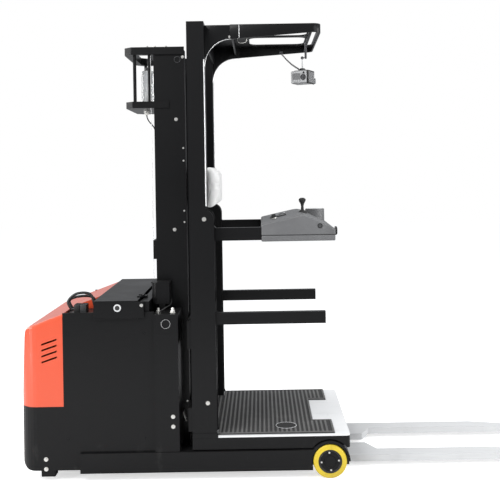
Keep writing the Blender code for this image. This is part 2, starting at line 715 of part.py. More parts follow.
def make_outer_mast():
    rails = []
    for side, sign in sides():
        outline = channel_outline(sign, MAST_REAR, MAST_FRONT, MAST_HALF, OUTER_WEB, OUTER_FLANGE,
                                  OUTER_CHANNEL)
        rails.append(prism("outer_mast", outline, "z", FLOOR_TOP + SEAT, MAST_TOP))
    mast, other = rails
    # columns: low z, high z
    for low, high in ((0.30, 0.42), (1.10, 1.20)):
        fuse(mast, block("tie", (MAST_REAR - 0.016, MAST_REAR + WELD), (-MAST_HALF, MAST_HALF), (low, high)))
    fuse(mast, other)
    return paint(mast, "black_paint")


def cage_outline(inset, front):
    rear = MAST_REAR - CAGE_LENGTH + inset
    half = CAGE_HALF - inset
    chamfer = CAGE_CHAMFER - inset * 0.4
    return [(front, -half), (front, half), (rear + chamfer, half), (rear, half - chamfer),
            (rear, -half + chamfer), (rear + chamfer, -half)]


CAGE_LOW = 1.902
CAGE_LOW_HEIGHT = 0.035
CAGE_HIGH = 2.185
CAGE_HIGH_HEIGHT = 0.040
CAGE_BAR = 0.009


def make_cage():
    ring = prism("cage_ring_top", cage_outline(0, MAST_FRONT), "z", CAGE_HIGH, CAGE_HIGH + CAGE_HIGH_HEIGHT)
    cut(ring, prism("hole", cage_outline(0.036, MAST_REAR - 0.030), "z", 2.0, 2.4))
    cut(ring, block("mast_place", (MAST_REAR - SEAT, MAST_FRONT + 0.1),
                    (-MAST_HALF - SEAT, MAST_HALF + SEAT), (2.0, 2.4)))
    tray = prism("beacon_cage", cage_outline(0.004, MAST_REAR + 0.080), "z", CAGE_LOW,
                 CAGE_LOW + CAGE_LOW_HEIGHT)
    cut(tray, block("mast_place", (MAST_REAR - SEAT, MAST_FRONT + 0.1),
                    (-MAST_HALF - SEAT, MAST_HALF + SEAT), (1.8, 2.4)))
    cut(tray, prism("hollow", cage_outline(0.012, MAST_REAR - 0.010), "z", CAGE_LOW + 0.008, 2.4))
    low = CAGE_LOW + 0.004
    rear_x = MAST_REAR - CAGE_LENGTH + 0.055
    front_x = MAST_REAR - 0.022
    for x in (rear_x, front_x):
        for sign in (-1, 1):
            y = sign * (CAGE_HALF - 0.020)
            fuse(tray, rod("bar", CAGE_BAR, (x, y, low), (x, y, CAGE_HIGH + 0.010), 10))
    fuse(tray, ring)
    paint(smooth(tray), "black_paint")
    centre = (MAST_REAR - 0.060, 0, CAGE_LOW + 0.008 + SEAT)
    base = turned("beacon_base", [(0, 0), (0.045, 0), (0.045, 0.022), (0.030, 0.028), (0, 0.028)],
                  centre, (0, 0, 1), 28)
    lens = turned("beacon_lens", [(0, 0.028 + SEAT), (0.036, 0.028 + SEAT), (0.036, 0.205), (0.030, 0.215),
                                  (0.014, 0.217), (0.014, 0.235), (0, 0.235)], centre, (0, 0, 1), 28)
    paint(smooth(base), "black_plastic")
    paint(smooth(lens), "clear_lens")


def make_lift_cylinder():
    axis_x = MAST_MIDDLE + 0.007
    bore = ROD_RADIUS + ROD_PLAY
    gland = ROD_RADIUS + PIN_PLAY
    barrel = turned("lift_barrel", [
        (0, 0), (BARREL_RADIUS, 0), (BARREL_RADIUS, 1.500), (BARREL_RADIUS + 0.003, 1.502),
        (BARREL_RADIUS + 0.003, 1.545), (gland, 1.545), (gland, 1.518), (bore, 1.514),
        (bore, 0.080), (0, 0.080)],
        (axis_x, 0, FLOOR_TOP + SEAT), (0, 0, 1), 28)
    reach = SHEAVE_Y - CHAIN_WIDTH / 2 - RUNNING
    for side, sign in sides():
        fuse(barrel, block("chain_bracket", (axis_x - 0.025, axis_x + 0.025),
                           span(sign, BARREL_RADIUS - 0.004, reach),
                           (FLOOR_TOP + SEAT + 1.505, FLOOR_TOP + SEAT + 1.535)))
    paint(smooth(barrel), "black_paint")
    top = INNER_TOP - 0.080
    piston = turned("lift_rod", [(0, 0), (ROD_RADIUS, 0), (ROD_RADIUS, top - 0.210 - SEAT),
                                 (0, top - 0.210 - SEAT)],
                    (axis_x, 0, 0.210), (0, 0, 1), 24)
    paint(smooth(piston), "bright_steel")
    return piston


def make_inner_mast():
    rails = []
    for side, sign in sides():
        outline = channel_outline(sign, INNER_RAIL_REAR, INNER_RAIL_FRONT, INNER_RAIL_OUTER, INNER_WEB,
                                  INNER_FLANGE, INNER_CHANNEL)
        rails.append(prism("inner_mast", outline, "z", INNER_BOTTOM, INNER_TOP))
    mast, other = rails
    half = INNER_RAIL_INNER + WELD
    # columns: low z, high z
    for low, high in ((0.16, 0.26), (INNER_TOP - 0.110, INNER_TOP)):
        fuse(mast, block("tie", (INNER_RAIL_REAR, INNER_RAIL_REAR + 0.012), (-half, half), (low, high)))
    fuse(mast, other)
    fuse(mast, block("shelf", (INNER_RAIL_REAR + 0.006, INNER_RAIL_FRONT), (-0.060, 0.060),
                     (INNER_TOP - 0.080, INNER_TOP - 0.050)))
    for sign in (-1, 1):
        y = sign * SHEAVE_Y
        fuse(mast, block("lug", (INNER_RAIL_REAR + 0.006, MAST_MIDDLE + 0.010), span(sign, 0.104, 0.112),
                         (INNER_TOP - 0.080, INNER_TOP - 0.020)))
        wheel = turned("sheave", [(0, -0.011), (0.040, -0.011), (SHEAVE_GROOVE, -0.007),
                                  (SHEAVE_GROOVE, 0.007), (0.040, 0.011), (0, 0.011)],
                       (MAST_MIDDLE, y, INNER_TOP - SHEAVE_DROP), (0, 1, 0), 24)
        fuse(mast, wheel)
        fuse(mast, rod("shaft", 0.009, (MAST_MIDDLE, sign * 0.050, INNER_TOP - SHEAVE_DROP),
                       (MAST_MIDDLE, sign * 0.108, INNER_TOP - SHEAVE_DROP), 10))
    pieces = [paint(smooth(mast), "black_paint"), make_lift_cylinder()]
    for side, sign in sides():
        pieces.append(make_chain(side, sign))
    return pieces


def make_chain(side, sign):
    """Leaf chain over its sheave: one run down behind the cylinder, one down to the carriage."""
    axis_z = INNER_TOP - SHEAVE_DROP
    inner = SHEAVE_GROOVE + SEAT
    outer = inner + CHAIN_THICK
    x = MAST_MIDDLE
    outline = [(x - outer, CHAIN_REAR_LOW)] + arc((x, axis_z), outer, 180, 0, 12)
    outline += [(x + outer, CHAIN_FRONT_LOW), (x + inner, CHAIN_FRONT_LOW)]
    outline += arc((x, axis_z), inner, 0, 180, 12) + [(x - inner, CHAIN_REAR_LOW)]
    half = CHAIN_WIDTH / 2
    chain = prism(f"lift_chain_{side}", outline, "y", *span(sign, SHEAVE_Y - half, SHEAVE_Y + half))
    return paint(smooth(chain), "dark_steel")


# Carriage and platform

CARRIAGE_LOW = 0.240
CARRIAGE_HIGH = 0.800
CARRIAGE_Y = 0.128
CROSSBAR_THICK = 0.020
ROLLER_ZS = (0.300, 0.730)


def make_carriage():
    rear = INNER_RAIL_REAR + 0.030
    bar_rear = POST_REAR - SEAT - CROSSBAR_THICK
    roller_radius = (INNER_RAIL_FRONT - INNER_RAIL_REAR - 2 * INNER_FLANGE) / 2 - PIN_PLAY
    frame = None
    # columns: low z, high z
    for low, high in ((0.240, 0.360), (0.660, 0.800)):
        bar = block("carriage", (bar_rear, POST_REAR - SEAT), (-POST_OUTER + 0.010, POST_OUTER - 0.010),
                    (low, high))
        if frame is None:
            frame = bar
        else:
            other_bar = bar
    for side, sign in sides():
        plate = block("plate", (rear, bar_rear + WELD), span(sign, CARRIAGE_Y, CARRIAGE_Y + CARRIAGE_PLATE),
                      (CARRIAGE_LOW, CARRIAGE_HIGH))
        for z in ROLLER_ZS:
            start = sign * (CARRIAGE_Y + 0.002)
            wide = INNER_RAIL_OUTER - INNER_WEB - RUNNING
            fuse(plate, rod("axle", 0.016, (MAST_MIDDLE, start, z), (MAST_MIDDLE, sign * (wide - 0.002), z), 12))
            fuse(plate, rod("roller", roller_radius, (MAST_MIDDLE, sign * (wide - ROLLER_WIDTH), z),
                            (MAST_MIDDLE, sign * wide, z), 28))
        fuse(frame, plate)
    fuse(frame, other_bar)
    lug_inner = SHEAVE_Y + CHAIN_WIDTH / 2 + RUNNING
    for side, sign in sides():
        fuse(frame, block("chain_lug", (MAST_MIDDLE + 0.018, bar_rear + WELD),
                          span(sign, lug_inner, lug_inner + 0.014),
                          (CHAIN_FRONT_LOW, CHAIN_FRONT_LOW + 0.050)))
    return paint(smooth(frame), "black_paint")


POST_WALL = 0.008
SHOULDER_Z = 1.380
SHOULDER_RADIUS = 0.048


def make_post(side, sign):
    low = DECK_Z + SEAT
    shoulder = arc((ARM_PIVOT_X, ARM_PIVOT_Z), SHOULDER_RADIUS, 8, 78, 6)
    outline = [(POST_REAR, low), (FOOT_FRONT, low), (FOOT_FRONT, ARM_PIVOT_Z)] + shoulder
    outline += [(POST_FRONT, SHOULDER_Z), (POST_FRONT, POST_TOP), (POST_REAR, POST_TOP)]
    post = prism(f"post_{side}", outline, "y", *span(sign, POST_INNER, POST_OUTER))
    inner = span(sign, POST_INNER + POST_WALL, POST_OUTER - POST_WALL)
    cut(post, block("hollow", (POST_REAR + POST_WALL, POST_FRONT - POST_WALL), inner,
                    (low - 0.1, POST_TOP - POST_WALL)))
    cut(post, block("mouth", (POST_REAR + 0.03, FOOT_FRONT + 0.1), inner, (low - 0.1, SHOULDER_Z)))
    for x, z in ((ARM_PIVOT_X, ARM_PIVOT_Z), (GATE_PIVOT_X, GATE_PIVOT_Z)):
        fuse(post, rod("pin", PIN_RADIUS, (x, sign * (POST_INNER + 0.003), z),
                       (x, sign * (POST_OUTER - 0.003), z), 16))
    return paint(post, "black_paint")


GUARD_TOP = 2.312
GUARD_PLATE = 0.010
GUARD_FRONT = 0.194
GUARD_DEEP = 2.239
GUARD_SHALLOW = 2.269
GUSSET = 0.139


def make_guard():
    start = POST_FRONT + SEAT
    fillet = arc((start + GUSSET, GUARD_DEEP - GUSSET), GUSSET, 90, 180, 8)
    nose = arc((GUARD_FRONT - 0.020, GUARD_TOP - 0.020), 0.020, 0, 90, 4)
    outline = [(GUARD_FRONT - 0.045, GUARD_SHALLOW), (GUARD_FRONT - 0.003, GUARD_SHALLOW)] + nose
    outline += [(start, GUARD_TOP)] + list(reversed(fillet))
    half = GUARD_HALF - GUARD_PLATE + WELD
    roof_front = GUARD_FRONT - 0.022
    guard = block("overhead_guard", (start, roof_front), (-half, half), (GUARD_TOP - 0.010, GUARD_TOP))
    for sign in (-1, 1):
        for k in range(3):
            low_x = -0.235 + k * 0.128
            high_x = low_x + 0.116
            y0, y1 = span(sign, 0.050, 0.260)
            radius = 0.020
            slot = []
            for cx, cy, first in ((high_x - radius, y1 - radius, 0), (low_x + radius, y1 - radius, 90),
                                  (low_x + radius, y0 + radius, 180), (high_x - radius, y0 + radius, 270)):
                slot += arc((cx, cy), radius, first, first + 90, 3)
            cut(guard, prism("slot", slot, "z", 2.2, 2.4))
    for side, sign in sides():
        fuse(guard, prism("plate", outline, "y", *span(sign, GUARD_HALF - GUARD_PLATE, GUARD_HALF)))
    # columns: low x, high x, bottom
    for x0, x1, bottom in ((0.130, 0.160, 2.272), (start, start + 0.012, 2.245)):
        fuse(guard, block("bar", (x0, x1), (-half, half), (bottom, GUARD_TOP - 0.005)))
    return paint(smooth(guard), "black_paint")


REEL_X = 0.120
REEL_TOP = 2.112


def make_reel():
    reel = block("lanyard_reel", (REEL_X - 0.060, REEL_X + 0.065), (-0.036, 0.036), (2.030, REEL_TOP))
    cap = block("cap", (REEL_X - 0.022, REEL_X + 0.010), (-0.012, 0.012), (REEL_TOP - 0.004, REEL_TOP + 0.016))
    fuse(reel, cap)
    paint(reel, "pale_plastic")
    hook = rod("reel_hook", 0.005, (REEL_X - 0.006, 0, REEL_TOP + 0.016 + SEAT), (REEL_X - 0.006, 0, 2.250), 12)
    fuse(hook, block("eye", (REEL_X - 0.012, 0.145), (-0.006, 0.006), (2.240, 2.272 - SEAT)))
    paint(hook, "bright_steel")
    return [reel, hook]


def make_backrest():
    half = POST_INNER - SEAT
    bracket = block("pad_bracket", (-0.440, -0.4253), (-half, half), (1.370, 1.580))
    paint(bracket, "black_paint")
    pad = block("back_pad", (-0.425, -0.352), (-0.200, 0.200), (1.352, 1.598))

    def front_rim(middle, normals):
        return middle.x > -0.36

    round_edges(pad, 0.030, 3, front_rim)
    paint(smooth(pad), "pad_cover")
    return [bracket, pad]


MAT_THICK = 0.010
MAT_FRONT = 0.228
MAT_NOTCH = 0.128
MAT_HALF = 0.420
MAT_NOTCH_HALF = 0.205
RIB_PITCH = 0.023


def make_platform():
    pieces = []
    skirt_top = DECK_Z - DECK_THICK - SEAT
    wall = 0.006
    corner = 0.018
    half = PLATFORM_HALF
    outline = [(POST_REAR, -half)]
    outline += arc((PLATFORM_FRONT - corner, -half + corner), corner, 270, 360, 4)
    outline += arc((PLATFORM_FRONT - corner, half - corner), corner, 0, 90, 4)
    outline.append((POST_REAR, half))
    tray = prism("platform_tray", outline, "z", PLATFORM_BOTTOM, skirt_top)
    cut(tray, block("hollow", (POST_REAR + wall, PLATFORM_FRONT - wall - 0.012), (-half + wall, half - wall),
                    (0.0, skirt_top - 0.008)))
    # Room above each load wheel's arch.
    arch = LOAD_RADIUS + RUNNING + ARCH_WALL + RUNNING
    for sign in (-1, 1):
        outer = span(sign, LEG_INNER - RUNNING, half + 0.1)
        cut(tray, turned("arch_room", [(0, 0), (arch, 0), (arch, 0.2), (0, 0.2)],
                         (WHEEL_X, sign * (LEG_INNER - RUNNING), LOAD_RADIUS), (0, sign, 0), 40))
    for y in (-0.261, -0.096, 0.096, 0.261):
        fuse(tray, block("rib", (POST_REAR + wall / 2, PLATFORM_FRONT - 0.010), (y - 0.005, y + 0.005),
                         (PLATFORM_BOTTOM, skirt_top - 0.004)))
    pieces.append(paint(tray, "black_paint"))
    deck_outline = [(FOOT_FRONT + 0.002, -half)]
    deck_outline += arc((PLATFORM_FRONT - corner, -half + corner), corner, 270, 360, 4)
    deck_outline += arc((PLATFORM_FRONT - corner, half - corner), corner, 0, 90, 4)
    deck_outline.append((FOOT_FRONT + 0.002, half))
    deck = prism("platform_deck", [(POST_REAR, -half)] + deck_outline[1:-1] + [(POST_REAR, half)], "z",
                 DECK_Z - DECK_THICK, DECK_Z)
    pieces.append(paint(deck, "light_paint"))
    mat_low = DECK_Z + SEAT
    mat_rear = FOOT_FRONT + 0.004
    mat_outline = [(mat_rear, -MAT_HALF), (MAT_FRONT, -MAT_HALF), (MAT_FRONT, -MAT_NOTCH_HALF),
                   (MAT_NOTCH, -MAT_NOTCH_HALF), (MAT_NOTCH, MAT_NOTCH_HALF), (MAT_FRONT, MAT_NOTCH_HALF),
                   (MAT_FRONT, MAT_HALF), (mat_rear, MAT_HALF)]
    mat = prism("floor_mat", mat_outline, "z", mat_low, mat_low + MAT_THICK - 0.004)
    pieces.append(paint(mat, "black_rubber"))
    return pieces


FORK_OUTER = 0.280
FORK_INNER = 0.180
FORK_HEEL_INNER = 0.075
FORK_BOTTOM = 0.025
FORK_THICK = 0.035
FORK_ROOT = -0.060
HEEL_END = 0.420
HEEL_TAPER = 0.050


def make_fork(side, sign):
    top = FORK_BOTTOM + FORK_THICK
    tip = 0.060
    pairs = [(FORK_ROOT, FORK_OUTER), (FORK_TIP - tip, FORK_OUTER), (FORK_TIP, FORK_OUTER - 0.022),
             (FORK_TIP, FORK_INNER + 0.022), (FORK_TIP - tip, FORK_INNER), (HEEL_END + HEEL_TAPER, FORK_INNER),
             (HEEL_END, FORK_HEEL_INNER), (FORK_ROOT, FORK_HEEL_INNER)]
    fork = prism(f"fork_{side}", [(x, sign * y) for x, y in pairs], "z", FORK_BOTTOM, top)
    taper = 0.300
    wedge = prism("wedge", [(FORK_TIP - taper, top), (FORK_TIP + 0.01, top - 0.022),
                            (FORK_TIP + 0.01, top + 0.02), (FORK_TIP - taper, top + 0.02)], "y", -0.5, 0.5)
    cut(fork, wedge)
    hanger_top = PLATFORM_BOTTOM - SEAT
    for y in (0.090, 0.255):
        fuse(fork, block("hanger", (FORK_ROOT + 0.010, PLATFORM_FRONT - 0.012), span(sign, y, y + 0.012),
                         (top - 0.004, hanger_top)))
    return paint(fork, "light_paint")


# Console and gates

def arm_outline():
    root = arc((ARM_PIVOT_X, ARM_PIVOT_Z), 0.030, 60, 200, 8)
    return root + [(ARM_PIVOT_X - 0.020, 1.215), (ARM_PIVOT_X - 0.008, 1.203), (-0.1315, 1.203),
                   (-0.1315, 1.269), (ARM_PIVOT_X + 0.055, 1.269), (ARM_PIVOT_X + 0.036, 1.290)]


CONSOLE_REAR = -0.131
CONSOLE_FRONT = 0.252
CONSOLE_HALF = 0.377
CONSOLE_WALL = 0.004
TRAY_LOW = 1.195
TRAY_TOP = 1.228


def make_console():
    pieces = []
    tray = prism("console_frame", [
        (CONSOLE_REAR + 0.002, TRAY_TOP), (CONSOLE_REAR + 0.004, TRAY_LOW + 0.006), (CONSOLE_REAR + 0.010, TRAY_LOW),
        (CONSOLE_FRONT - 0.014, TRAY_LOW + 0.002), (CONSOLE_FRONT - 0.004, TRAY_LOW + 0.012),
        (CONSOLE_FRONT - 0.002, TRAY_TOP)], "y", -CONSOLE_HALF + 0.002, CONSOLE_HALF - 0.002)
    cut(tray, block("hollow", (CONSOLE_REAR + 0.012, CONSOLE_FRONT - 0.020),
                    (-CONSOLE_HALF + 0.002 + CONSOLE_WALL, CONSOLE_HALF - 0.002 - CONSOLE_WALL),
                    (TRAY_LOW + CONSOLE_WALL + 0.002, TRAY_TOP + 0.1)))
    for side, sign in sides():
        arm = prism("arm", arm_outline(), "y", *span(sign, ARM_OUTER - ARM_WIDTH, ARM_OUTER))
        cut(arm, rod("hole", PIN_RADIUS + PIN_PLAY, (ARM_PIVOT_X, sign * 0.30, ARM_PIVOT_Z),
                     (ARM_PIVOT_X, sign * 0.42, ARM_PIVOT_Z), 16))
        fuse(tray, arm)
    fuse(tray, block("cross", (CONSOLE_REAR - 0.012, CONSOLE_REAR + 0.010),
                     (-ARM_OUTER + 0.004, ARM_OUTER - 0.004), (1.203, TRAY_TOP)))
    pieces.append(paint(smooth(tray), "black_paint"))
    housing = prism("console_housing", [
        (CONSOLE_REAR, TRAY_TOP + SEAT), (CONSOLE_FRONT, TRAY_TOP + SEAT), (CONSOLE_FRONT, 1.254),
        (0.223, 1.273), (0.193, 1.287), (0.100, 1.3265), (0.083, 1.3285), (0.060, 1.326),
        (CONSOLE_REAR + 0.008, 1.286), (CONSOLE_REAR, 1.280)], "y", -CONSOLE_HALF, CONSOLE_HALF)

    def rim(middle, normals):
        sideways = [abs(normal.y) > 0.9 for normal in normals]
        return any(sideways) and middle.z > TRAY_TOP + 0.01

    round_edges(housing, 0.008, 2, rim)
    wall = CONSOLE_WALL
    cut(housing, prism("room", [
        (CONSOLE_REAR + wall, TRAY_TOP - 0.1), (CONSOLE_FRONT - wall, TRAY_TOP - 0.1),
        (CONSOLE_FRONT - wall, 1.2515), (0.2215, 1.268), (0.192, 1.282), (0.099, 1.3218), (0.083, 1.3240),
        (0.061, 1.3218), (CONSOLE_REAR + 0.010, 1.2818), (CONSOLE_REAR + wall, 1.2770)],
        "y", -CONSOLE_HALF + wall, CONSOLE_HALF - wall))
    pieces.append(paint(smooth(housing), "grey_plastic"))
    top = 1.3285 + SEAT
    lever = turned("control_lever", [
        (0, 0), (0.022, 0), (0.018, 0.012), (0.008, 0.018), (0.006, 0.022), (0.006, 0.060), (0.012, 0.064),
        (0.018, 0.072), (0.019, 0.080), (0.012, 0.088), (0, 0.090)], (0.088, -0.050, top), (0, 0, 1), 20)
    pieces.append(paint(smooth(lever), "black_plastic"))
    disc = turned("steering_disc", [(0, 0), (0.014, 0), (0.014, 0.008), (0.034, 0.010), (0.036, 0.014),
                                    (0.034, 0.019), (0, 0.019)], (0.088, 0.250, top), (0, 0, 1), 28)
    pieces.append(paint(smooth(disc), "pale_plastic"))
    return pieces


def make_gate(side, sign):
    inner, outer = ARM_OUTER + RUNNING, ARM_OUTER + RUNNING + 0.038
    top = GATE_PIVOT_Z + 0.010
    low = top - GATE_HEIGHT
    end = GATE_PIVOT_X + GATE_LENGTH
    root = arc((GATE_PIVOT_X, GATE_PIVOT_Z - 0.008), 0.018, 90, 200, 6)
    outline = root + [(GATE_PIVOT_X - 0.016, low + 0.006), (GATE_PIVOT_X - 0.010, low), (end, low), (end, top)]
    gate = prism(f"side_gate_{side}", outline, "y", *span(sign, inner, outer))
    cut(gate, rod("hole", PIN_RADIUS + PIN_PLAY, (GATE_PIVOT_X, sign * 0.36, GATE_PIVOT_Z),
                  (GATE_PIVOT_X, sign * 0.44, GATE_PIVOT_Z), 16))
    paint(gate, "black_paint")
    return gate


def main():
    clear_scene()
    for side, sign in sides():
        make_outrigger(side, sign)
        make_load_wheel(side, sign)
        make_column(side, sign)
    make_frame()
    make_shell()
    make_hood()
    make_drive()
    make_battery_bay()
    make_connector()
    make_outer_mast()
    make_cage()
    first_stage = pivot("inner_mast_slide", (MAST_MIDDLE, 0, INNER_BOTTOM))
    hang(first_stage, *make_inner_mast())
    second_stage = pivot("carriage_slide", (MAST_MIDDLE, 0, CARRIAGE_LOW), first_stage)
    hang(second_stage, make_carriage())
    for side, sign in sides():
        hang(second_stage, make_post(side, sign), make_fork(side, sign))
        gate_axis = pivot(f"side_gate_{side}_axis", (GATE_PIVOT_X, sign * 0.4, GATE_PIVOT_Z), second_stage)
        hang(gate_axis, make_gate(side, sign))
    hang(second_stage, make_guard())
    hang(second_stage, *make_reel())
    hang(second_stage, *make_backrest())
    hang(second_stage, *make_platform())
    console_axis = pivot("console_axis", (ARM_PIVOT_X, 0, ARM_PIVOT_Z), second_stage)
    hang(console_axis, *make_console())


main()
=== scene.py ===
"""Looks of the order picker truck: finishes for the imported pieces, and the small pieces that they carry."""

import math

import bmesh
import bpy
from mathutils import Matrix, Vector


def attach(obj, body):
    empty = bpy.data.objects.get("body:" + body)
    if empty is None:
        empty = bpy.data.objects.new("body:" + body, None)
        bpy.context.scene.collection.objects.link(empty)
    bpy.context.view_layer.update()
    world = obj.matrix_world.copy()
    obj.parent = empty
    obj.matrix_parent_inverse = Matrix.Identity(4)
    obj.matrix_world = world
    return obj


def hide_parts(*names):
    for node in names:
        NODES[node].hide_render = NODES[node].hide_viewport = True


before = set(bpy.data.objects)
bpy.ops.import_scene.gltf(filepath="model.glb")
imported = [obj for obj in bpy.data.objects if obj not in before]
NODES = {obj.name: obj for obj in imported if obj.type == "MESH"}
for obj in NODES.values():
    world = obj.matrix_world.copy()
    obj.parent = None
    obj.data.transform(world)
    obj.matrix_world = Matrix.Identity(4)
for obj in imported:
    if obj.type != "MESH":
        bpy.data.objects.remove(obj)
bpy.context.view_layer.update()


class Box:
    """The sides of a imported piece's box, in metres. Rear and front lie along X, right and left along Y."""

    def __init__(self, name):
        node = NODES[name]
        corners = [node.matrix_world @ Vector(corner) for corner in node.bound_box]
        self.rear, self.right, self.low = map(min, zip(*corners))
        self.front, self.left, self.top = map(max, zip(*corners))
        self.x = (self.rear + self.front) / 2
        self.z = (self.low + self.top) / 2


# Places on the truck that the boxes don't give, in metres
SEAM = -1.1465             # between the rear hood and the side panels
LID_REAR = -0.985
SHELF_TOP = 0.8363         # under the battery connector
COLUMN_TOP = 0.841         # of the mast columns, without their hose covers
POST_FRONT = -0.407        # of the posts' upper boxes
PIVOT_Z = 1.318            # of the console's arms


# Shader maths

class Value:
    """One output of a shader node. An expression on values adds the Math nodes that work it out."""

    def __init__(self, finish, socket):
        self.finish = finish
        self.socket = socket

    def math(self, operation, *others, clamp=False):
        return self.finish.node("Math", {"operation": operation, "use_clamp": clamp},
                                dict(enumerate((self,) + others)))

    def __add__(self, other):
        return self.math("ADD", other)

    def __sub__(self, other):
        return self.math("SUBTRACT", other)

    def __rsub__(self, other):
        return self.finish.number(other).math("SUBTRACT", self)

    def __mul__(self, other):
        return self.math("MULTIPLY", other)

    __radd__ = __add__
    __rmul__ = __mul__

    def clamped(self):
        return self.math("ADD", 0.0, clamp=True)

    def ramp(self, low, high):
        """0 below low and 1 above high, smooth between them."""
        return self.finish.node("MapRange", {"interpolation_type": "SMOOTHSTEP"},
                                {"Value": self, "From Min": low, "From Max": high})


class Finish:
    """A material under construction, with its shader and its nodes."""

    def __init__(self, name, **shader):
        self.material = bpy.data.materials.new(name)
        self.material.use_nodes = True
        self.tree = self.material.node_tree
        self.shader = self.tree.nodes["Principled BSDF"]
        self.place = self.node("TexCoord", out="Object")
        for socket, value in shader.items():
            self.set(socket.replace("_", " "), value)

    def node(self, kind, settings=None, inputs=None, out=0):
        made = self.tree.nodes.new("ShaderNode" + kind)
        for key, value in (settings or {}).items():
            setattr(made, key, value)
        for key, value in (inputs or {}).items():
            self.join(value, made.inputs[key])
        return Value(self, made.outputs[out])

    def join(self, value, socket):
        if isinstance(value, Value):
            self.tree.links.new(value.socket, socket)
        elif hasattr(value, "__len__") and len(value) == 3 and socket.type == "RGBA":
            socket.default_value = (*value, 1.0)
        else:
            socket.default_value = value

    def number(self, value):
        made = self.tree.nodes.new("ShaderNodeValue")
        made.outputs[0].default_value = value
        return Value(self, made.outputs[0])

    def set(self, socket, value):
        self.join(value, self.shader.inputs[socket])

    def noise(self, scale, detail=4.0, roughness=0.55, stretch=(1, 1, 1)):
        place = self.place
        if stretch != (1, 1, 1):
            place = self.node("Mapping", inputs={"Vector": place, "Scale": stretch})
        return self.node("TexNoise", inputs={"Vector": place, "Scale": scale, "Detail": detail,
                                             "Roughness": roughness})

    def cells(self, scale, **settings):
        """Distance from the middle of the nearest grain cell."""
        inputs = {"Vector": self.place, "Scale": scale}
        smoothness = settings.pop("smoothness", None)
        if smoothness is not None:
            inputs["Smoothness"] = smoothness
        return self.node("TexVoronoi", settings, inputs, "Distance")

    def blend(self, factor, one, two):
        """The colour one where the factor is 0, and two where it is 1."""
        made = self.tree.nodes.new("ShaderNodeMix")
        made.data_type = "RGBA"
        for socket, value in zip((made.inputs[0], made.inputs[6], made.inputs[7]), (factor, one, two)):
            self.join(value, socket)
        return Value(self, made.outputs[2])

    def height(self):
        return self.node("SeparateXYZ", inputs={"Vector": self.place}, out="Z")

    def upward(self):
        """1 on faces that look up, 0 on those that look sideways or down."""
        normal = self.node("NewGeometry", out="Normal")
        return self.node("SeparateXYZ", inputs={"Vector": normal}, out="Z").ramp(0.2, 0.9)

    def bump(self, height, strength, distance, under=None):
        inputs = {"Height": height, "Strength": strength, "Distance": distance}
        if under is not None:
            inputs["Normal"] = under
        return self.node("Bump", inputs=inputs)


# Finishes

def paint_finish(name, colour, dust, roughness, dust_amount, shine, coat, grain=0.04):
    """Sprayed paint: fine orange peel, faint clouding, dust on what faces up, scuffs low down."""
    finish = Finish(name, Metallic=0.0)
    clouds = finish.noise(3.0, 5.0)
    specks = finish.noise(46.0, 6.0, 0.65)
    scuffs = finish.noise(13.0, 8.0, 0.7, (1, 1, 0.35)).ramp(0.60, 0.74)
    low = 1 - finish.height().ramp(0.05, 0.55)
    settled = finish.upward() * (clouds * 0.6 + specks * 0.4).ramp(0.30, 0.75)
    film = (settled * dust_amount + scuffs * low * 0.30 + specks.ramp(0.60, 0.80) * 0.06).clamped()
    finish.set("Base Color", finish.blend(film, colour, dust))
    finish.set("Roughness", (clouds * 0.16 + film * 0.30 + (roughness - 0.08)).clamped())
    finish.set("Specular IOR Level", shine)
    finish.set("Coat Weight", coat)
    finish.set("Coat Roughness", 0.12)
    peel = finish.noise(420.0, 2.0)
    finish.set("Normal", finish.bump(peel, grain, 0.0006))
    return finish.material


def plate_finish(name, colour, dark):
    """Pale plate that is walked on: long scratches, grey rub marks and small dents."""
    finish = Finish(name, Metallic=0.0)
    along = finish.noise(30.0, 8.0, 0.7, (0.12, 1, 1)).ramp(0.56, 0.72)
    across = finish.noise(26.0, 8.0, 0.7, (1, 0.15, 1)).ramp(0.60, 0.74)
    clouds = finish.noise(4.5, 5.0)
    wear = (along * 0.20 + across * 0.14 + clouds.ramp(0.50, 0.80) * 0.22).clamped()
    finish.set("Base Color", finish.blend(wear, colour, dark))
    finish.set("Roughness", (wear * 0.35 + clouds * 0.10 + 0.36).clamped())
    dents = finish.noise(90.0, 3.0)
    finish.set("Normal", finish.bump(dents * 0.6 + along * 0.4, 0.10, 0.0008))
    return finish.material


def moulded_finish(name, colour, roughness, grain=0.25):
    """Moulded plastic with a fine leathery grain and slightly shinier rubbed places."""
    finish = Finish(name, Metallic=0.0)
    grains = finish.cells(900.0, feature="F1")
    clouds = finish.noise(7.0, 4.0)
    worn = tuple(min(1.0, part * 1.5 + 0.01) for part in colour)
    finish.set("Base Color", finish.blend(clouds.ramp(0.35, 0.75) * 0.35, colour, worn))
    finish.set("Roughness", (clouds * 0.20 + (roughness - 0.10)).clamped())
    finish.set("Normal", finish.bump(grains, grain, 0.0004))
    return finish.material


def rubber_finish(name, colour, dust, roughness=0.78):
    """Rubber with a grey film in clouds and specks."""
    finish = Finish(name, Metallic=0.0)
    clouds = finish.noise(9.0, 6.0, 0.6)
    specks = finish.noise(160.0, 4.0, 0.7)
    film = (clouds.ramp(0.42, 0.78) * 0.30 + specks.ramp(0.55, 0.8) * 0.15).clamped()
    finish.set("Base Color", finish.blend(film, colour, dust))
    finish.set("Roughness", (clouds * 0.15 + (roughness - 0.05)).clamped())
    finish.set("Normal", finish.bump(specks, 0.20, 0.0005))
    return finish.material


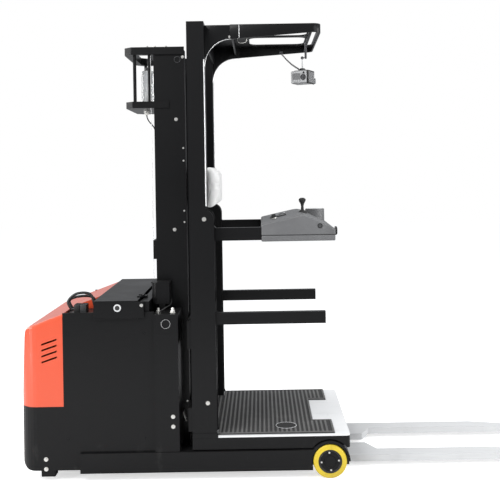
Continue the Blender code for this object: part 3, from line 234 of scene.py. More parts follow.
def tyre_finish(name, colour, dirt):
    """Cast polyurethane with streaks and clouds of dirt."""
    finish = Finish(name, Metallic=0.0)
    clouds = finish.noise(14.0, 6.0, 0.6)
    streaks = finish.noise(60.0, 6.0, 0.7)
    film = (clouds.ramp(0.40, 0.80) * 0.45 + streaks.ramp(0.50, 0.80) * 0.20).clamped()
    finish.set("Base Color", finish.blend(film, colour, dirt))
    finish.set("Roughness", (clouds * 0.25 + 0.32).clamped())
    finish.set("Normal", finish.bump(streaks, 0.12, 0.0006))
    return finish.material


def steel_finish(name, colour, roughness, stretch=(1, 1, 1)):
    """Bare or plated steel with fine marks and a few dull spots. Turned steel has a stretch along Z."""
    finish = Finish(name, Metallic=1.0)
    marks = finish.noise(220.0, 4.0, 0.6, stretch)
    spots = finish.noise(30.0, 6.0, 0.6).ramp(0.55, 0.75)
    dull = tuple(part * 0.55 for part in colour)
    finish.set("Base Color", finish.blend(spots * 0.35 + marks * 0.15, colour, dull))
    finish.set("Roughness", (marks * 0.14 + spots * 0.20 + (roughness - 0.05)).clamped())
    finish.set("Normal", finish.bump(marks, 0.06, 0.0004))
    return finish.material


def vinyl_finish(name, colour, dark):
    """Upholstery vinyl: pebbled grain in soft cells, and grey rub marks on the crown."""
    finish = Finish(name, Metallic=0.0)
    pebbles = finish.cells(330.0, feature="SMOOTH_F1", smoothness=0.6)
    folds = finish.noise(26.0, 5.0, 0.6)
    rubbed = finish.noise(8.0, 6.0, 0.6).ramp(0.45, 0.75)
    finish.set("Base Color", finish.blend((rubbed * 0.35 + pebbles * 0.25).clamped(), colour, dark))
    finish.set("Roughness", (rubbed * 0.12 + pebbles * 0.18 + 0.40).clamped())
    under = finish.bump(folds, 0.15, 0.0030)
    finish.set("Normal", finish.bump(pebbles, 0.30, 0.0006, under))
    return finish.material


def lens_finish(name):
    """Clear plastic with fine upright ribs."""
    finish = Finish(name, Metallic=0.0)
    finish.set("Base Color", (0.93, 0.94, 0.94))
    finish.set("Transmission Weight", 0.85)
    finish.set("IOR", 1.46)
    ribs = finish.noise(60.0, 2.0, 0.5, (1, 1, 0.04))
    finish.set("Roughness", (ribs * 0.10 + 0.06).clamped())
    finish.set("Normal", finish.bump(ribs, 0.08, 0.0006))
    return finish.material


BLACK = paint_finish("black_enamel", (0.0058, 0.0058, 0.0062), (0.040, 0.039, 0.038), roughness=0.38,
                     dust_amount=0.30, shine=0.12, coat=0.12)
ORANGE = paint_finish("orange_enamel", (0.62, 0.070, 0.022), (0.50, 0.30, 0.24), roughness=0.36,
                      dust_amount=0.22, shine=0.4, coat=0.5)
LIGHT = plate_finish("pale_plate_paint", (0.80, 0.805, 0.81), (0.38, 0.375, 0.37))
FORK = plate_finish("fork_paint", (0.56, 0.565, 0.57), (0.26, 0.255, 0.25))
CHARCOAL = moulded_finish("charcoal_mouldings", (0.035, 0.036, 0.038), 0.52)
SOOT = moulded_finish("black_mouldings", (0.012, 0.012, 0.012), 0.50)
PALE = moulded_finish("pale_mouldings", (0.52, 0.525, 0.53), 0.42, grain=0.15)
RUBBER = rubber_finish("black_rubber_worn", (0.016, 0.016, 0.016), (0.07, 0.068, 0.065))
MAT = rubber_finish("mat_rubber", (0.030, 0.030, 0.030), (0.085, 0.083, 0.080))
# Painted light: a lighter copy of the mat's rubber for the ribs and the rim, so their raised tops read lit
# and the mat between them reads shaded
RIB_PAINTED_LIGHT = rubber_finish("mat_rib_rubber_painted_light", (0.105, 0.104, 0.102), (0.24, 0.235, 0.23), 0.50)
HOSE = rubber_finish("hose_rubber", (0.013, 0.013, 0.013), (0.05, 0.05, 0.05), 0.42)
YELLOW = tyre_finish("yellow_polyurethane", (0.70, 0.52, 0.025), (0.24, 0.18, 0.05))
DRIVE = tyre_finish("dark_drive_tyre", (0.030, 0.030, 0.030), (0.10, 0.095, 0.09))
STEEL = steel_finish("ground_steel", (0.58, 0.58, 0.59), 0.24, stretch=(1, 1, 14))
ZINC = steel_finish("zinc_plated", (0.70, 0.69, 0.66), 0.34)
DARK_STEEL = steel_finish("oiled_steel", (0.10, 0.10, 0.105), 0.40)
VINYL = vinyl_finish("pad_vinyl", (0.82, 0.82, 0.81), (0.55, 0.545, 0.54))
LENS = lens_finish("beacon_lens_clear")
GREY = moulded_finish("grey_mouldings", (0.215, 0.217, 0.222), 0.42, grain=0.15)
CONSOLE = moulded_finish("console_mouldings", (0.112, 0.113, 0.116), 0.44, grain=0.20)
# Painted highlight: a bright steel for thin strips and rings that stand for light caught on edges
EDGE_HIGHLIGHT = steel_finish("painted_edge_highlight", (0.82, 0.82, 0.82), 0.30)
SCREEN = moulded_finish("dark_screen", (0.010, 0.011, 0.012), 0.16, grain=0.02)

# columns: finish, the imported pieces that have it
PACKED_FINISHES = (
    (BLACK, "outrigger_left outrigger_right chassis_frame body_shell hinge_beam mast_column_left "
            "mast_column_right outer_mast beacon_cage lift_barrel load_hub_left load_hub_right "
            "steer_turntable drive_hub inner_mast carriage post_left post_right overhead_guard "
            "pad_bracket platform_tray side_gate_left side_gate_right console_frame battery_lid"),
    (ORANGE, "rear_hood"),
    (LIGHT, "platform_deck"),
    (FORK, "fork_left fork_right"),
    (CONSOLE, "console_housing steering_disc"),
    (SOOT, "drive_motor battery beacon_base control_lever"),
    (PALE, "battery_connector lanyard_reel"),
    (HOSE, "battery_cable_a battery_cable_b"),
    (MAT, "floor_mat"),
    (DARK_STEEL, "lift_chain_left lift_chain_right"),
    (YELLOW, "load_tyre_left load_tyre_right"),
    (DRIVE, "drive_tyre"),
    (STEEL, "lift_rod reel_hook"),
    (LENS, "beacon_lens"),
    (VINYL, "back_pad"),
)
for finish, names in PACKED_FINISHES:
    for name in names.split():
        for slot in NODES[name].material_slots:
            slot.material = finish


# Making pieces

def deselect():
    """Leaves edit mode and selects nothing."""
    if bpy.context.mode != "OBJECT":
        bpy.ops.object.mode_set(mode="OBJECT")
    bpy.ops.object.select_all(action="DESELECT")


def take(piece):
    """Selects one piece alone."""
    deselect()
    piece.select_set(True)
    bpy.context.view_layer.objects.active = piece
    return piece


def settle(piece):
    """Puts a piece's place and turn into its mesh."""
    take(piece)
    bpy.ops.object.transform_apply(location=True, rotation=True, scale=True)
    return piece


def set_down(piece, place):
    """Moves a piece from the origin to its place."""
    piece.location = place
    return settle(piece)


def as_mesh(piece):
    """Makes a curve a mesh."""
    take(piece)
    bpy.ops.object.convert(target="MESH")
    return bpy.context.view_layer.objects.active


def mend(piece, gap):
    """Merges points closer than the gap and turns the faces outwards."""
    take(piece)
    bpy.ops.object.mode_set(mode="EDIT")
    bpy.ops.mesh.select_all(action="SELECT")
    bpy.ops.mesh.remove_doubles(threshold=gap)
    bpy.ops.mesh.normals_make_consistent(inside=False)
    bpy.ops.object.mode_set(mode="OBJECT")
    return piece


def modify(piece, kind, **settings):
    """Adds a modifier with its settings and applies it."""
    modifier = piece.modifiers.new(kind.lower(), kind)
    for key, value in settings.items():
        setattr(modifier, key, value)
    take(piece)
    bpy.ops.object.modifier_apply(modifier=modifier.name)
    return piece


def soften(piece, width, segments=2, angle=35):
    """Rounds the piece's sharp edges."""
    return modify(piece, "BEVEL", width=width, segments=segments, limit_method="ANGLE",
                  angle_limit=math.radians(angle))


def pick_faces(piece, test):
    """In edit mode, selects the faces that a test on their middle and normal picks."""
    take(piece)
    bpy.ops.object.mode_set(mode="EDIT")
    bpy.ops.mesh.select_mode(type="FACE")
    bpy.ops.mesh.select_all(action="DESELECT")
    shape = bmesh.from_edit_mesh(piece.data)
    for face in shape.faces:
        face.select_set(bool(test(face.calc_center_median(), face.normal)))
    bmesh.update_edit_mesh(piece.data)


def inset_faces(inset, move=None):
    """Insets the picked faces, and extrudes what is left of them by a move."""
    bpy.ops.mesh.inset(thickness=inset)
    if move:
        bpy.ops.mesh.extrude_region_move(TRANSFORM_OT_translate={"value": move})
    deselect()


def slab(name, low, high, edge=0.0, segments=2):
    """A box from its low and high corners, with rounded edges."""
    deselect()
    low = Vector(low)
    high = Vector(high)
    bpy.ops.mesh.primitive_cube_add(size=1, location=(low + high) / 2)
    piece = bpy.context.object
    piece.name = name
    piece.scale = high - low
    settle(piece)
    if edge:
        soften(piece, edge, segments)
    return piece


def stack(name, radius, rise, steps, sides=24):
    """A round piece on the floor at the origin. Each step insets its top face, then lifts or sinks it."""
    deselect()
    bpy.ops.mesh.primitive_cylinder_add(vertices=sides, radius=radius, depth=rise, location=(0, 0, rise / 2))
    piece = bpy.context.object
    piece.name = name
    settle(piece)
    top = rise
    for inset, lift in steps:
        pick_faces(piece, lambda middle, normal: normal.z > 0.99 and middle.xy.length < 1e-5
                   and abs(middle.z - top) < 1e-5)
        if inset:
            bpy.ops.mesh.inset(thickness=inset)
        if lift:
            bpy.ops.mesh.extrude_region_move(TRANSFORM_OT_translate={"value": (0, 0, lift)})
            top += lift
    deselect()
    return piece


def repeat(name, master, places):
    """One copy of the master at each (place, direction of its own Z), joined into one piece."""
    twins = []
    for place, direction in places:
        twin = master.copy()
        twin.data = master.data.copy()
        bpy.context.scene.collection.objects.link(twin)
        turn = Vector(direction).to_track_quat("Z", "Y").to_matrix().to_4x4()
        twin.matrix_world = Matrix.Translation(place) @ turn
        twins.append(twin)
    bpy.data.objects.remove(master)
    return settle(join(name, *twins))


def hoop(radius, wire, steps=40):
    """A ring of round wire on the floor around the origin."""
    deselect()
    bpy.ops.mesh.primitive_torus_add(major_radius=radius, minor_radius=wire, major_segments=steps,
                                     minor_segments=8)
    return bpy.context.object


def join(name, *parts):
    """Makes one piece of several."""
    take(parts[0])
    if len(parts) > 1:
        for part in parts[1:]:
            part.select_set(True)
        bpy.ops.object.join()
    parts[0].name = name
    return parts[0]


def trace(name, kind, lines, dimensions="3D"):
    """A curve object with a spline through each list of points. Flat splines are closed."""
    curve = bpy.data.curves.new(name, "CURVE")
    curve.dimensions = dimensions
    for points in lines:
        line = curve.splines.new(kind)
        line.points.add(len(points) - 1)
        for spot, point in zip(line.points, points):
            spot.co = (*Vector(point).to_3d(), 1.0)
        line.use_cyclic_u = dimensions == "2D"
    piece = bpy.data.objects.new(name, curve)
    bpy.context.scene.collection.objects.link(piece)
    return piece


def thicken(curve, radius, sides):
    """Gives a curve a round section and closed ends."""
    curve.bevel_depth = radius
    curve.bevel_resolution = sides
    curve.use_fill_caps = True


def strand(name, points, radius, sides=3):
    """A round bar or cable along a smooth curve through its points, as a mesh."""
    piece = trace(name, "NURBS", [points])
    thicken(piece.data, radius, sides)
    line = piece.data.splines[0]
    line.use_endpoint_u = True
    line.order_u = min(4, len(points))
    line.resolution_u = 6
    return as_mesh(piece)


def sheet(name, outlines, low, high, upright=False):
    """A plate from its outline and its holes, lying flat, or upright with its thickness along Y."""
    piece = trace(name, "POLY", outlines, "2D")
    piece.data.fill_mode = "BOTH"
    piece.data.extrude = (high - low) / 2
    middle = (low + high) / 2
    piece.location = (0, middle, 0) if upright else (0, 0, middle)
    piece.rotation_euler = (math.pi / 2 if upright else 0, 0, 0)
    return mend(settle(as_mesh(piece)), 0.00005)


def arc(centre, radius, first, last, steps):
    """Points on a part circle, from one angle to another in degrees."""
    turns = [math.radians(first + (last - first) * k / steps) for k in range(steps + 1)]
    return [(centre[0] + radius * math.cos(turn), centre[1] + radius * math.sin(turn)) for turn in turns]


def dress(piece, finish, body, angle=32, replaces=()):
    """Gives a piece its finish, its smooth shading and the body that it rides on."""
    mend(piece, 0.00002)
    bpy.ops.object.shade_smooth_by_angle(angle=math.radians(angle))
    piece.data.materials.clear()
    piece.data.materials.append(finish)
    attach(piece, body)
    if replaces:
        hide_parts(*replaces)


def both(points):
    """Each (x, y, z) on the right and, mirrored, on the left, with the direction that faces outwards."""
    return [((x, sign * y, z), (0, sign, 0)) for x, y, z in points for sign in (-1, 1)]


def flanks(inner, outer):
    """The low and high y of a plate on the right, and of its twin on the left."""
    return (-outer, -inner), (inner, outer)


SIDES = (("right", -1), ("left", 1))
UP = (0, 0, 1)


# Fasteners

def bolt(radius, height, sides=24, socket=0.0):
    """A bolt head on a washer, with a socket or a plain crown."""
    steps = [(0.0006, 0.0002), (radius * 0.28, 0.0), (0.0, height * 0.8), (radius * 0.10, height * 0.2)]
    if socket:
        steps += [(max(0.0005, radius * 0.55 - socket), 0.0), (0.0, -height * 0.45)]
    return stack("bolt", radius, 0.0008, steps, sides)


def make_bolts():
    shell = Box("body_shell")
    lid = Box("battery_lid")
    column = Box("mast_column_left")
    mast = Box("outer_mast")
    cage = Box("beacon_cage")
    post = Box("post_left")
    guard = Box("overhead_guard")
    hood = Box("rear_hood")
    panel_corners = ((SEAM + 0.0225, 0.746), (SEAM + 0.0225, 0.212), (lid.front + 0.013, 0.212),
                     (lid.front + 0.013, 0.746))
    # columns: name, head (radius, height, sides, socket radius), places, finish, slot, body
    bolts = (
        ("rear_frame_bolts", (0.011, 0.0045, 20, 0.0),
         both([(shell.rear + 0.1335, shell.left, z) for z in (0.1135, 0.0638)]),
         ZINC, "bright_steel", "chassis"),
        ("panel_screws", (0.0065, 0.0020, 16, 0.0025),
         both([(x, shell.left, z) for x, z in panel_corners]), BLACK, "black_paint", "chassis"),
        ("lid_bolts", (0.0085, 0.0028, 20, 0.0032),
         both([(lid.front + 0.006, lid.left - 0.0014, lid.top - 0.034)]),
         ZINC, "bright_steel", "battery_lid"),
        ("column_side_bolts", (0.0105, 0.0040, 20, 0.0040),
         both([(column.front - 0.031, column.left, z) for z in (0.323, 0.273)]),
         ZINC, "bright_steel", "chassis"),
        ("mast_side_bolts", (0.0095, 0.0045, 24, 0.0),
         both([(mast.front - 0.048, mast.left, 1.840), (mast.front - 0.065, mast.left, 1.255)]),
         ZINC, "bright_steel", "chassis"),
        ("mast_head_bolts", (0.0080, 0.0045, 20, 0.0),
         both([(mast.front - 0.008, mast.left, mast.top - 0.037)]), ZINC, "bright_steel", "chassis"),
        ("cage_top_bolts", (0.0095, 0.0060, 20, 0.0),
         [((cage.rear + x, sign * 0.222, cage.top), UP) for x in (0.123, 0.163, 0.222) for sign in (-1, 1)],
         ZINC, "bright_steel", "chassis"),
        ("post_pivot_bolts", (0.0110, 0.0060, 28, 0.0),
         both([(post.rear + 0.076, post.left, PIVOT_Z)]), ZINC, "bright_steel", "carriage"),
        ("post_foot_bolts", (0.0105, 0.0045, 20, 0.0042),
         both([(post.rear + 0.080, post.left, 0.386)]), ZINC, "bright_steel", "carriage"),
        ("guard_bracket_bolts", (0.0070, 0.0040, 20, 0.0),
         both([(guard.rear + 0.1302, guard.left, guard.top - 0.062)]), ZINC, "bright_steel", "carriage"),
        ("hood_screws", (0.0080, 0.0024, 20, 0.0030),
         [((hood.rear + 0.0035, y, hood.low + 0.0507), (-1, 0, 0.07)) for y in (-0.300, 0.300)],
         ZINC, "bright_steel", "chassis"),
    )
    for name, head, places, finish, slot, body in bolts:
        dress(repeat(name, bolt(*head), places), finish, body)


make_bolts()


# Battery lid

def make_lid_locks():
    lid = Box("battery_lid")
    x = lid.rear + 0.121
    z = lid.top - 0.0455
    ring = stack("ring", 0.0190, 0.0010, ((0.0015, 0.0006), (0.0045, 0.0), (0.0010, -0.0008)), 40)
    rings = repeat("lid_lock_rings", ring, both([(x, lid.left - 0.0004, z)]))
    dress(rings, PALE, "battery_lid")
    core = stack("core", 0.0120, 0.0004, ((0.0012, 0.0003), (0.0030, -0.0002)), 28)
    key_slot = slab("key_slot", (-0.0012, -0.0060, 0.0), (0.0012, 0.0060, 0.0008), 0.0002, 1)
    cores = repeat("lid_lock_cores", join("core", core, key_slot), both([(x, lid.left + 0.0011, z)]))
    dress(cores, SOOT, "battery_lid")


def make_lid_sides():
    lid = Box("battery_lid")
    rear = lid.rear + 0.001
    front = lid.front + 0.017
    sides = [slab("side", (rear, low, lid.low + 0.006), (front, high, lid.top - 0.015), 0.0008, 1)
             for low, high in flanks(lid.left - 0.0035, lid.left - 0.0010)]
    dress(join("lid_side_plates", *sides), BLACK, "battery_lid")


make_lid_locks()
make_lid_sides()


# Mast columns

def make_column_covers():
    column = Box("mast_column_left")
    plates = [slab("plate", (column.rear + 0.0315, low, COLUMN_TOP - 0.0965),
                   (column.front - 0.0055, high, COLUMN_TOP - 0.0025), 0.0007, 1)
              for low, high in flanks(column.left - 0.0002, column.left + 0.0014)]
    dress(join("column_cover_plates", *plates), BLACK, "chassis")
    x = column.rear + 0.0855
    z = COLUMN_TOP - 0.0485
    plug = stack("plug", 0.0240, 0.0008, ((0.0022, 0.0012), (0.0020, -0.0010), (0.0060, 0.0)), 36)
    plugs = repeat("column_plugs", plug, both([(x, column.left + 0.0012, z)]))
    dress(plugs, BLACK, "chassis")
    # The thin bright ring round each plug is a painted highlight on the plug's rim
    rings = repeat("column_plug_highlight_rings", hoop(0.0225, 0.0007), both([(x, column.left + 0.0024, z)]))
    dress(rings, EDGE_HIGHLIGHT, "chassis")


def make_column_studs():
    column = Box("mast_column_left")
    stud = stack("stud", 0.0150, 0.0020, ((0.0022, 0.0), (0.0, 0.0100), (0.0008, 0.0008), (0.0035, 0.0),
                                          (0.0, 0.0120), (0.0010, 0.0010)), 6)
    places = [((column.rear + x, sign * 0.392, COLUMN_TOP), UP)
              for x in (0.0430, 0.1170) for sign in (-1, 1)]
    dress(repeat("column_top_studs", stud, places), ZINC, "chassis")


def make_column_wires():
    route = ((-0.655, 0.404, 0.8420), (-0.652, 0.405, 0.850), (-0.640, 0.408, 0.8605),
             (-0.622, 0.402, 0.8695), (-0.607, 0.385, 0.8770), (-0.600, 0.360, 0.8830),
             (-0.600, 0.335, 0.8900), (-0.604, 0.320, 0.8980))
    for side, sign in SIDES:
        wire = strand(f"column_wire_{side}", [(x, sign * y, z) for x, y, z in route], 0.0028)
        dress(wire, HOSE, "chassis", 60)


make_column_covers()
make_column_studs()
make_column_wires()


# Wheels

def make_load_hub(side, sign):
    """The hub's bolts, the turned rings of its rim and the cap over its pin."""
    wheel = Box("load_tyre_left")
    body = f"load_wheel_{side}"
    face = sign * (wheel.left - 0.0041)
    outwards = (0, sign, 0)
    head = stack("head", 0.0052, 0.0005, ((0.0005, 0.0), (0.0, 0.0022), (0.0009, 0.0007)), 6)
    places = [((x, face, z), outwards) for x, z in arc((wheel.x, wheel.z), 0.0440, 95, 365, 3)]
    dress(repeat(f"hub_bolts_{side}", head, places), ZINC, body)
    rims = [repeat("rim", hoop(radius, 0.0011, 64), [((wheel.x, face, wheel.z), outwards)])
            for radius in (0.0520, 0.0565, 0.0590)]
    dress(join(f"hub_rims_{side}", *rims), DARK_STEEL, body, 60)
    cap = stack("cap", 0.0255, 0.0002, ((0.0020, 0.0), (0.0012, -0.0004), (0.0050, 0.0),
                                        (0.0010, 0.0004)), 40)
    cap = repeat(f"hub_cap_{side}", cap, [((wheel.x, sign * (wheel.left - 0.0003), wheel.z), outwards)])
    dress(cap, SOOT, body)


def make_drive_hub_bolts():
    wheel = Box("drive_tyre")
    head = stack("head", 0.0095, 0.0008, ((0.0006, 0.0), (0.0, 0.0055), (0.0012, 0.0010)), 6)
    places = both([(x, wheel.left - 0.0001, z) for x, z in arc((wheel.x, wheel.z), 0.052, 0, 300, 5)])
    dress(repeat("drive_hub_bolts", head, places), ZINC, "drive_wheel")


for side, sign in SIDES:
    make_load_hub(side, sign)
make_drive_hub_bolts()


# Floor mat

def make_mat_ribs():
    mat = Box("floor_mat")
    pitch = 0.023
    side = mat.left - 0.016
    notch = 0.221
    # columns: first rib, ribs, their right end, their left end
    rows = ((mat.rear + 0.027, 20, -side, side),
            (mat.rear + 0.027 + 20 * pitch, 4, -side, -notch),
            (mat.rear + 0.027 + 20 * pitch, 4, notch, side),
            (mat.rear - 0.019 - 4 * pitch, 5, -0.312, 0.312))
    ribs = [repeat("row", slab("rib", (-0.0055, right, -0.0012), (0.0055, left, 0.0026), 0.0016, 2),
                   [((first + pitch * k, 0.0, mat.top), UP) for k in range(count)])
            for first, count, right, left in rows]
    # The ribs take the lighter copy of the mat's rubber: painted light on their tops
    dress(join("floor_mat_ribs", *ribs), RIB_PAINTED_LIGHT, "carriage")


def make_mat_rim():
    mat = Box("floor_mat")
    width = 0.010
    rear = mat.rear + 0.001
    front = mat.front - 0.001
    side = mat.left - 0.001
    inner = side - 0.009
    notch = front - 0.100
    notch_half = 0.206
    notch_end = front - width + 0.001
    # columns: rear end, right end, front end, left end
    strips = ((rear, -side, front, -side + width),
              (rear, side - width, front, side),
              (rear, -inner, rear + width, inner),
              (front - width, -inner, front, -notch_half),
              (front - width, notch_half, front, inner),
              (notch - width, -notch_half, notch, notch_half),
              (notch - width, -notch_half - width, notch_end, -notch_half),
              (notch - width, notch_half, notch_end, notch_half + width))
    rims = [slab("rim", (x0, y0, mat.top - 0.001), (x1, y1, mat.top + 0.0034), 0.0018, 2)
            for x0, y0, x1, y1 in strips]
    # The rim takes the lighter copy of the mat's rubber: painted light on its top
    dress(join("floor_mat_rim", *rims), RIB_PAINTED_LIGHT, "carriage")


def make_mat_tail():
    """The mat's rear end between the posts, and the covers beside the posts' feet."""
    mat = Box("floor_mat")
    deck = Box("platform_deck")
    post = Box("post_left")
    tail = slab("mat_tail", (deck.rear + 0.0090, -0.3210, mat.low + 0.0001),
                (mat.rear - 0.0005, 0.3210, mat.top), 0.0010, 1)
    dress(tail, MAT, "carriage")
    covers = [slab("cover", (deck.rear + 0.0002, low, deck.top - 0.011), (mat.rear, high, deck.top + 0.014),
                   0.0008, 1) for low, high in flanks(post.left + 0.0002, post.left + 0.0036)]
    dress(join("post_foot_covers", *covers), BLACK, "carriage")


def make_mat_disc():
    mat = Box("floor_mat")
    x = -0.017
    y = -0.305
    ring = repeat("floor_mat_ring", hoop(0.0530, 0.0016), [((x, y, mat.top + 0.0034), UP)])
    dress(ring, PALE, "carriage", 60)
    disc = stack("disc", 0.0560, 0.0032, ((0.0020, 0.0008), (0.0030, -0.0006)), 48)
    dress(repeat("floor_mat_disc", disc, [((x, y, mat.top), UP)]), RUBBER, "carriage")


make_mat_ribs()
make_mat_rim()
make_mat_tail()
make_mat_disc()


# Console

RIDGE_X = 0.07             # where the housing's rear slope meets its front slope
REAR_RISE = 0.2186
FRONT_RISE = -0.4247


def on_console(piece, x, y):
    """Moves a piece from the origin onto the housing's rear or front slope."""
    housing = Box("console_housing")
    if x < RIDGE_X:
        rise = REAR_RISE
        start = Vector((housing.rear + 0.008, y, housing.top - 0.0425))
    else:
        rise = FRONT_RISE
        start = Vector((0.100, y, housing.top - 0.002))
    place = start + Vector((1, 0, rise)) * (x - start.x)
    piece.matrix_world = Matrix.Translation(place) @ Matrix.Rotation(-math.atan(rise), 4, "Y")
    return settle(piece)


def make_display():
    x = -0.035
    bezel = slab("bezel", (-0.045, -0.075, -0.002), (0.045, 0.075, 0.006), 0.004, 3)
    pick_faces(bezel, lambda middle, normal: normal.z > 0.99 and middle.z > 0.005)
    inset_faces(0.007, (0, 0, -0.0025))
    dress(on_console(bezel, x, 0.0), SOOT, "console")
    glass = slab("glass", (-0.036, -0.066, 0.0030), (0.036, 0.066, 0.0040), 0.0004, 1)
    dress(on_console(glass, x, 0.0), SCREEN, "console")


def make_keys():
    keys = [on_console(stack("key", 0.0105, 0.0030, ((0.0015, 0.0), (0.0, 0.0022), (0.0012, 0.0008)), 24),
                       x, 0.118) for x in (-0.070, -0.036, -0.002)]
    dress(join("console_keys", *keys), PALE, "console")


def make_switch():
    """The key switch: a plated collar with the key in it."""
    x = -0.060
    y = -0.150
    collar = stack("collar", 0.0170, 0.0035, ((0.0030, 0.0015), (0.0035, -0.0010)), 32)
    dress(on_console(collar, x, y), ZINC, "console")
    stem = slab("stem", (-0.0110, -0.0016, 0.002), (0.0110, 0.0016, 0.026), 0.0008, 2)
    dress(on_console(stem, x, y), SOOT, "console")


def make_tray_skin():
    """The moulded skin of the tray under the housing, and the dark seam between them."""
    housing = Box("console_housing")
    tray = Box("console_frame")
    skin = slab("console_tray_skin", (housing.rear + 0.001, housing.right - 0.0002, tray.low - 0.0002),
                (housing.front - 0.001, housing.left + 0.0002, housing.low - 0.0013), 0.0060, 3)
    dress(skin, CONSOLE, "console")
    seam = slab("seam", (housing.rear + 0.007, housing.right - 0.0005, housing.low - 0.0021),
                (housing.front - 0.006, housing.left + 0.0005, housing.low + 0.0007), 0.0004, 1)
    dress(seam, SOOT, "console")


def make_lever():
    """The travel lever: a rubber boot of three folds, a stem and a mushroom grip."""
    # columns: lower radius, upper radius, lower height, upper height
    rings = ((0.0240, 0.0205, -0.0060, 0.0040), (0.0215, 0.0160, 0.0030, 0.0085),
             (0.0170, 0.0110, 0.0075, 0.0130), (0.0090, 0.0070, 0.0120, 0.0340),
             (0.0070, 0.0100, 0.0335, 0.0480), (0.0100, 0.0180, 0.0475, 0.0620),
             (0.0180, 0.0200, 0.0615, 0.0700), (0.0200, 0.0170, 0.0698, 0.0765),
             (0.0170, 0.0080, 0.0763, 0.0810))
    cones = []
    for wide, narrow, low, high in rings:
        deselect()
        bpy.ops.mesh.primitive_cone_add(vertices=36, radius1=wide, radius2=narrow, depth=high - low,
                                        location=(0, 0, (low + high) / 2))
        cones.append(settle(bpy.context.object))
    place = (0.0985, -0.050, Box("console_housing").top - 0.0023)
    lever = set_down(join("lever_grip", *cones), place)
    dress(lever, RUBBER, "console", 40, replaces=["control_lever"])


def make_drum():
    """The steering drum with its pale top."""
    x = 0.185
    y = 0.250
    level = Box("console_housing").top
    drum = stack("steering_drum", 0.0560, 0.0700, ((0.0015, 0.0030), (0.0040, 0.0012),
                                                   (0.0030, -0.0008)), 56)
    dress(set_down(drum, (x, y, level - 0.0690)), CONSOLE, "console", 30,
          replaces=["steering_disc"])
    top = stack("drum_top", 0.0470, 0.0006, ((0.0030, 0.0006), (0.0300, 0.0)), 48)
    dress(set_down(top, (x, y, level + 0.0044)), PALE, "console")


def make_side_button():
    housing = Box("console_housing")
    place = [((housing.front - 0.080, housing.right + 0.0001, housing.low + 0.0437), (0, -1, 0))]
    rim = stack("rim", 0.0130, 0.0012, ((0.0020, 0.0008), (0.0012, -0.0016)), 32)
    dress(repeat("side_button_rim", rim, place), SOOT, "console")
    button = stack("button", 0.0088, 0.0020, ((0.0012, 0.0008),), 28)
    dress(repeat("side_button", button, place), CHARCOAL, "console")


def make_front_knob():
    """A knob with a sunk grip in each of its flats."""
    housing = Box("console_housing")
    knob = stack("knob", 0.0230, 0.0050, ((0.0010, 0.0), (0.0, 0.0050), (0.0040, 0.0020)), 18)
    pick_faces(knob, lambda middle, normal: abs(normal.z) < 0.1 and middle.z > 0.005)
    bpy.ops.mesh.inset(thickness=0.0009, use_individual=True)
    bpy.ops.transform.shrink_fatten(value=-0.0012)
    place = [((housing.front - 0.0002, -0.330, housing.low + 0.0147), (1, 0, 0))]
    deselect()
    dress(repeat("front_knob", knob, place), SOOT, "console")


make_display()
make_keys()
make_switch()
make_tray_skin()
make_lever()
make_drum()
make_side_button()
make_front_knob()


# Battery connector and its cables

def connector_half(name, rear, front):
    """One half of the plug, with four grip bars on top."""
    seat = Box("battery_connector")
    half = slab(name, (rear, seat.right + 0.0002, seat.low + 0.0002),
                (front, seat.left - 0.0002, seat.top - 0.0001), 0.0025, 3)
    pick_faces(half, lambda middle, normal: abs(normal.x) > 0.99)
    bpy.ops.mesh.inset(thickness=0.005, use_individual=True)
    deselect()
    grips = [slab("grip", (rear + x, seat.right + 0.0005, seat.top - 0.0023),
                  (rear + x + 0.0035, seat.left - 0.0005, seat.top + 0.0013), 0.0008, 1)
             for x in (0.0040, 0.0105, 0.0170, 0.0235)]
    return join(name, half, *grips)


def make_connector():
    seat = Box("battery_connector")
    rear_half = connector_half("connector_rear", seat.rear + 0.0001, seat.rear + 0.0310)
    front_half = connector_half("connector_front", seat.rear + 0.0325, seat.front - 0.0001)
    dress(rear_half, SOOT, "chassis", replaces=["battery_connector"])
    dress(front_half, CHARCOAL, "chassis")


def smooth_route(route, steps):
    """A smooth curve through the points of a route, with the same number of steps between them."""
    points = []
    last = len(route) - 1
    for k in range(last):
        before, one, two, after = route[max(k - 1, 0)], route[k], route[k + 1], route[min(k + 2, last)]
        for j in range(steps):
            t = j / steps
            points.append(0.5 * (2 * one + (two - before) * t
                                 + (2 * before - 5 * one + 4 * two - after) * t * t
                                 + (3 * one - before - 3 * two + after) * t ** 3))
    return points + [route[-1]]


CABLE = 0.014


def make_cable(name, rear_y, front_y, crest):
    """A battery cable from the connector over its arch to the shelf's front end."""
    start = Vector((SEAM + 0.0397, rear_y, SHELF_TOP + 0.022))
    end = Vector((LID_REAR - 0.022, front_y, SHELF_TOP + 0.0003))
    route = [start, start + Vector((-0.008, 0, 0)), start + Vector((-0.016, 0, 0)),
             Vector((SEAM + 0.008, rear_y, SHELF_TOP + 0.062)),
             Vector((SEAM + 0.050, (rear_y + front_y) / 2, crest)),
             Vector((LID_REAR - 0.045, front_y, crest - 0.006)),
             end + Vector((0, 0, 0.030)), end + Vector((0, 0, 0.015)), end]
    points = smooth_route(route, 10)
    cable = trace(f"{name}_cord", "POLY", [points])
    thicken(cable.data, CABLE / 2, 5)
    cable.data.materials.append(HOSE)
    length = sum((two - one).length for one, two in zip(points, points[1:]))
    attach(cable, "chassis")
    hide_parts(name)


make_connector()
make_cable("battery_cable_a", -0.330, -0.300, 0.935)
make_cable("battery_cable_b", -0.300, -0.255, 0.915)


# Back pad

PAD_LOW = Vector((-0.4247, -0.1995, 1.3525))
PAD_HIGH = Vector((-0.3525, 0.1995, 1.5975))


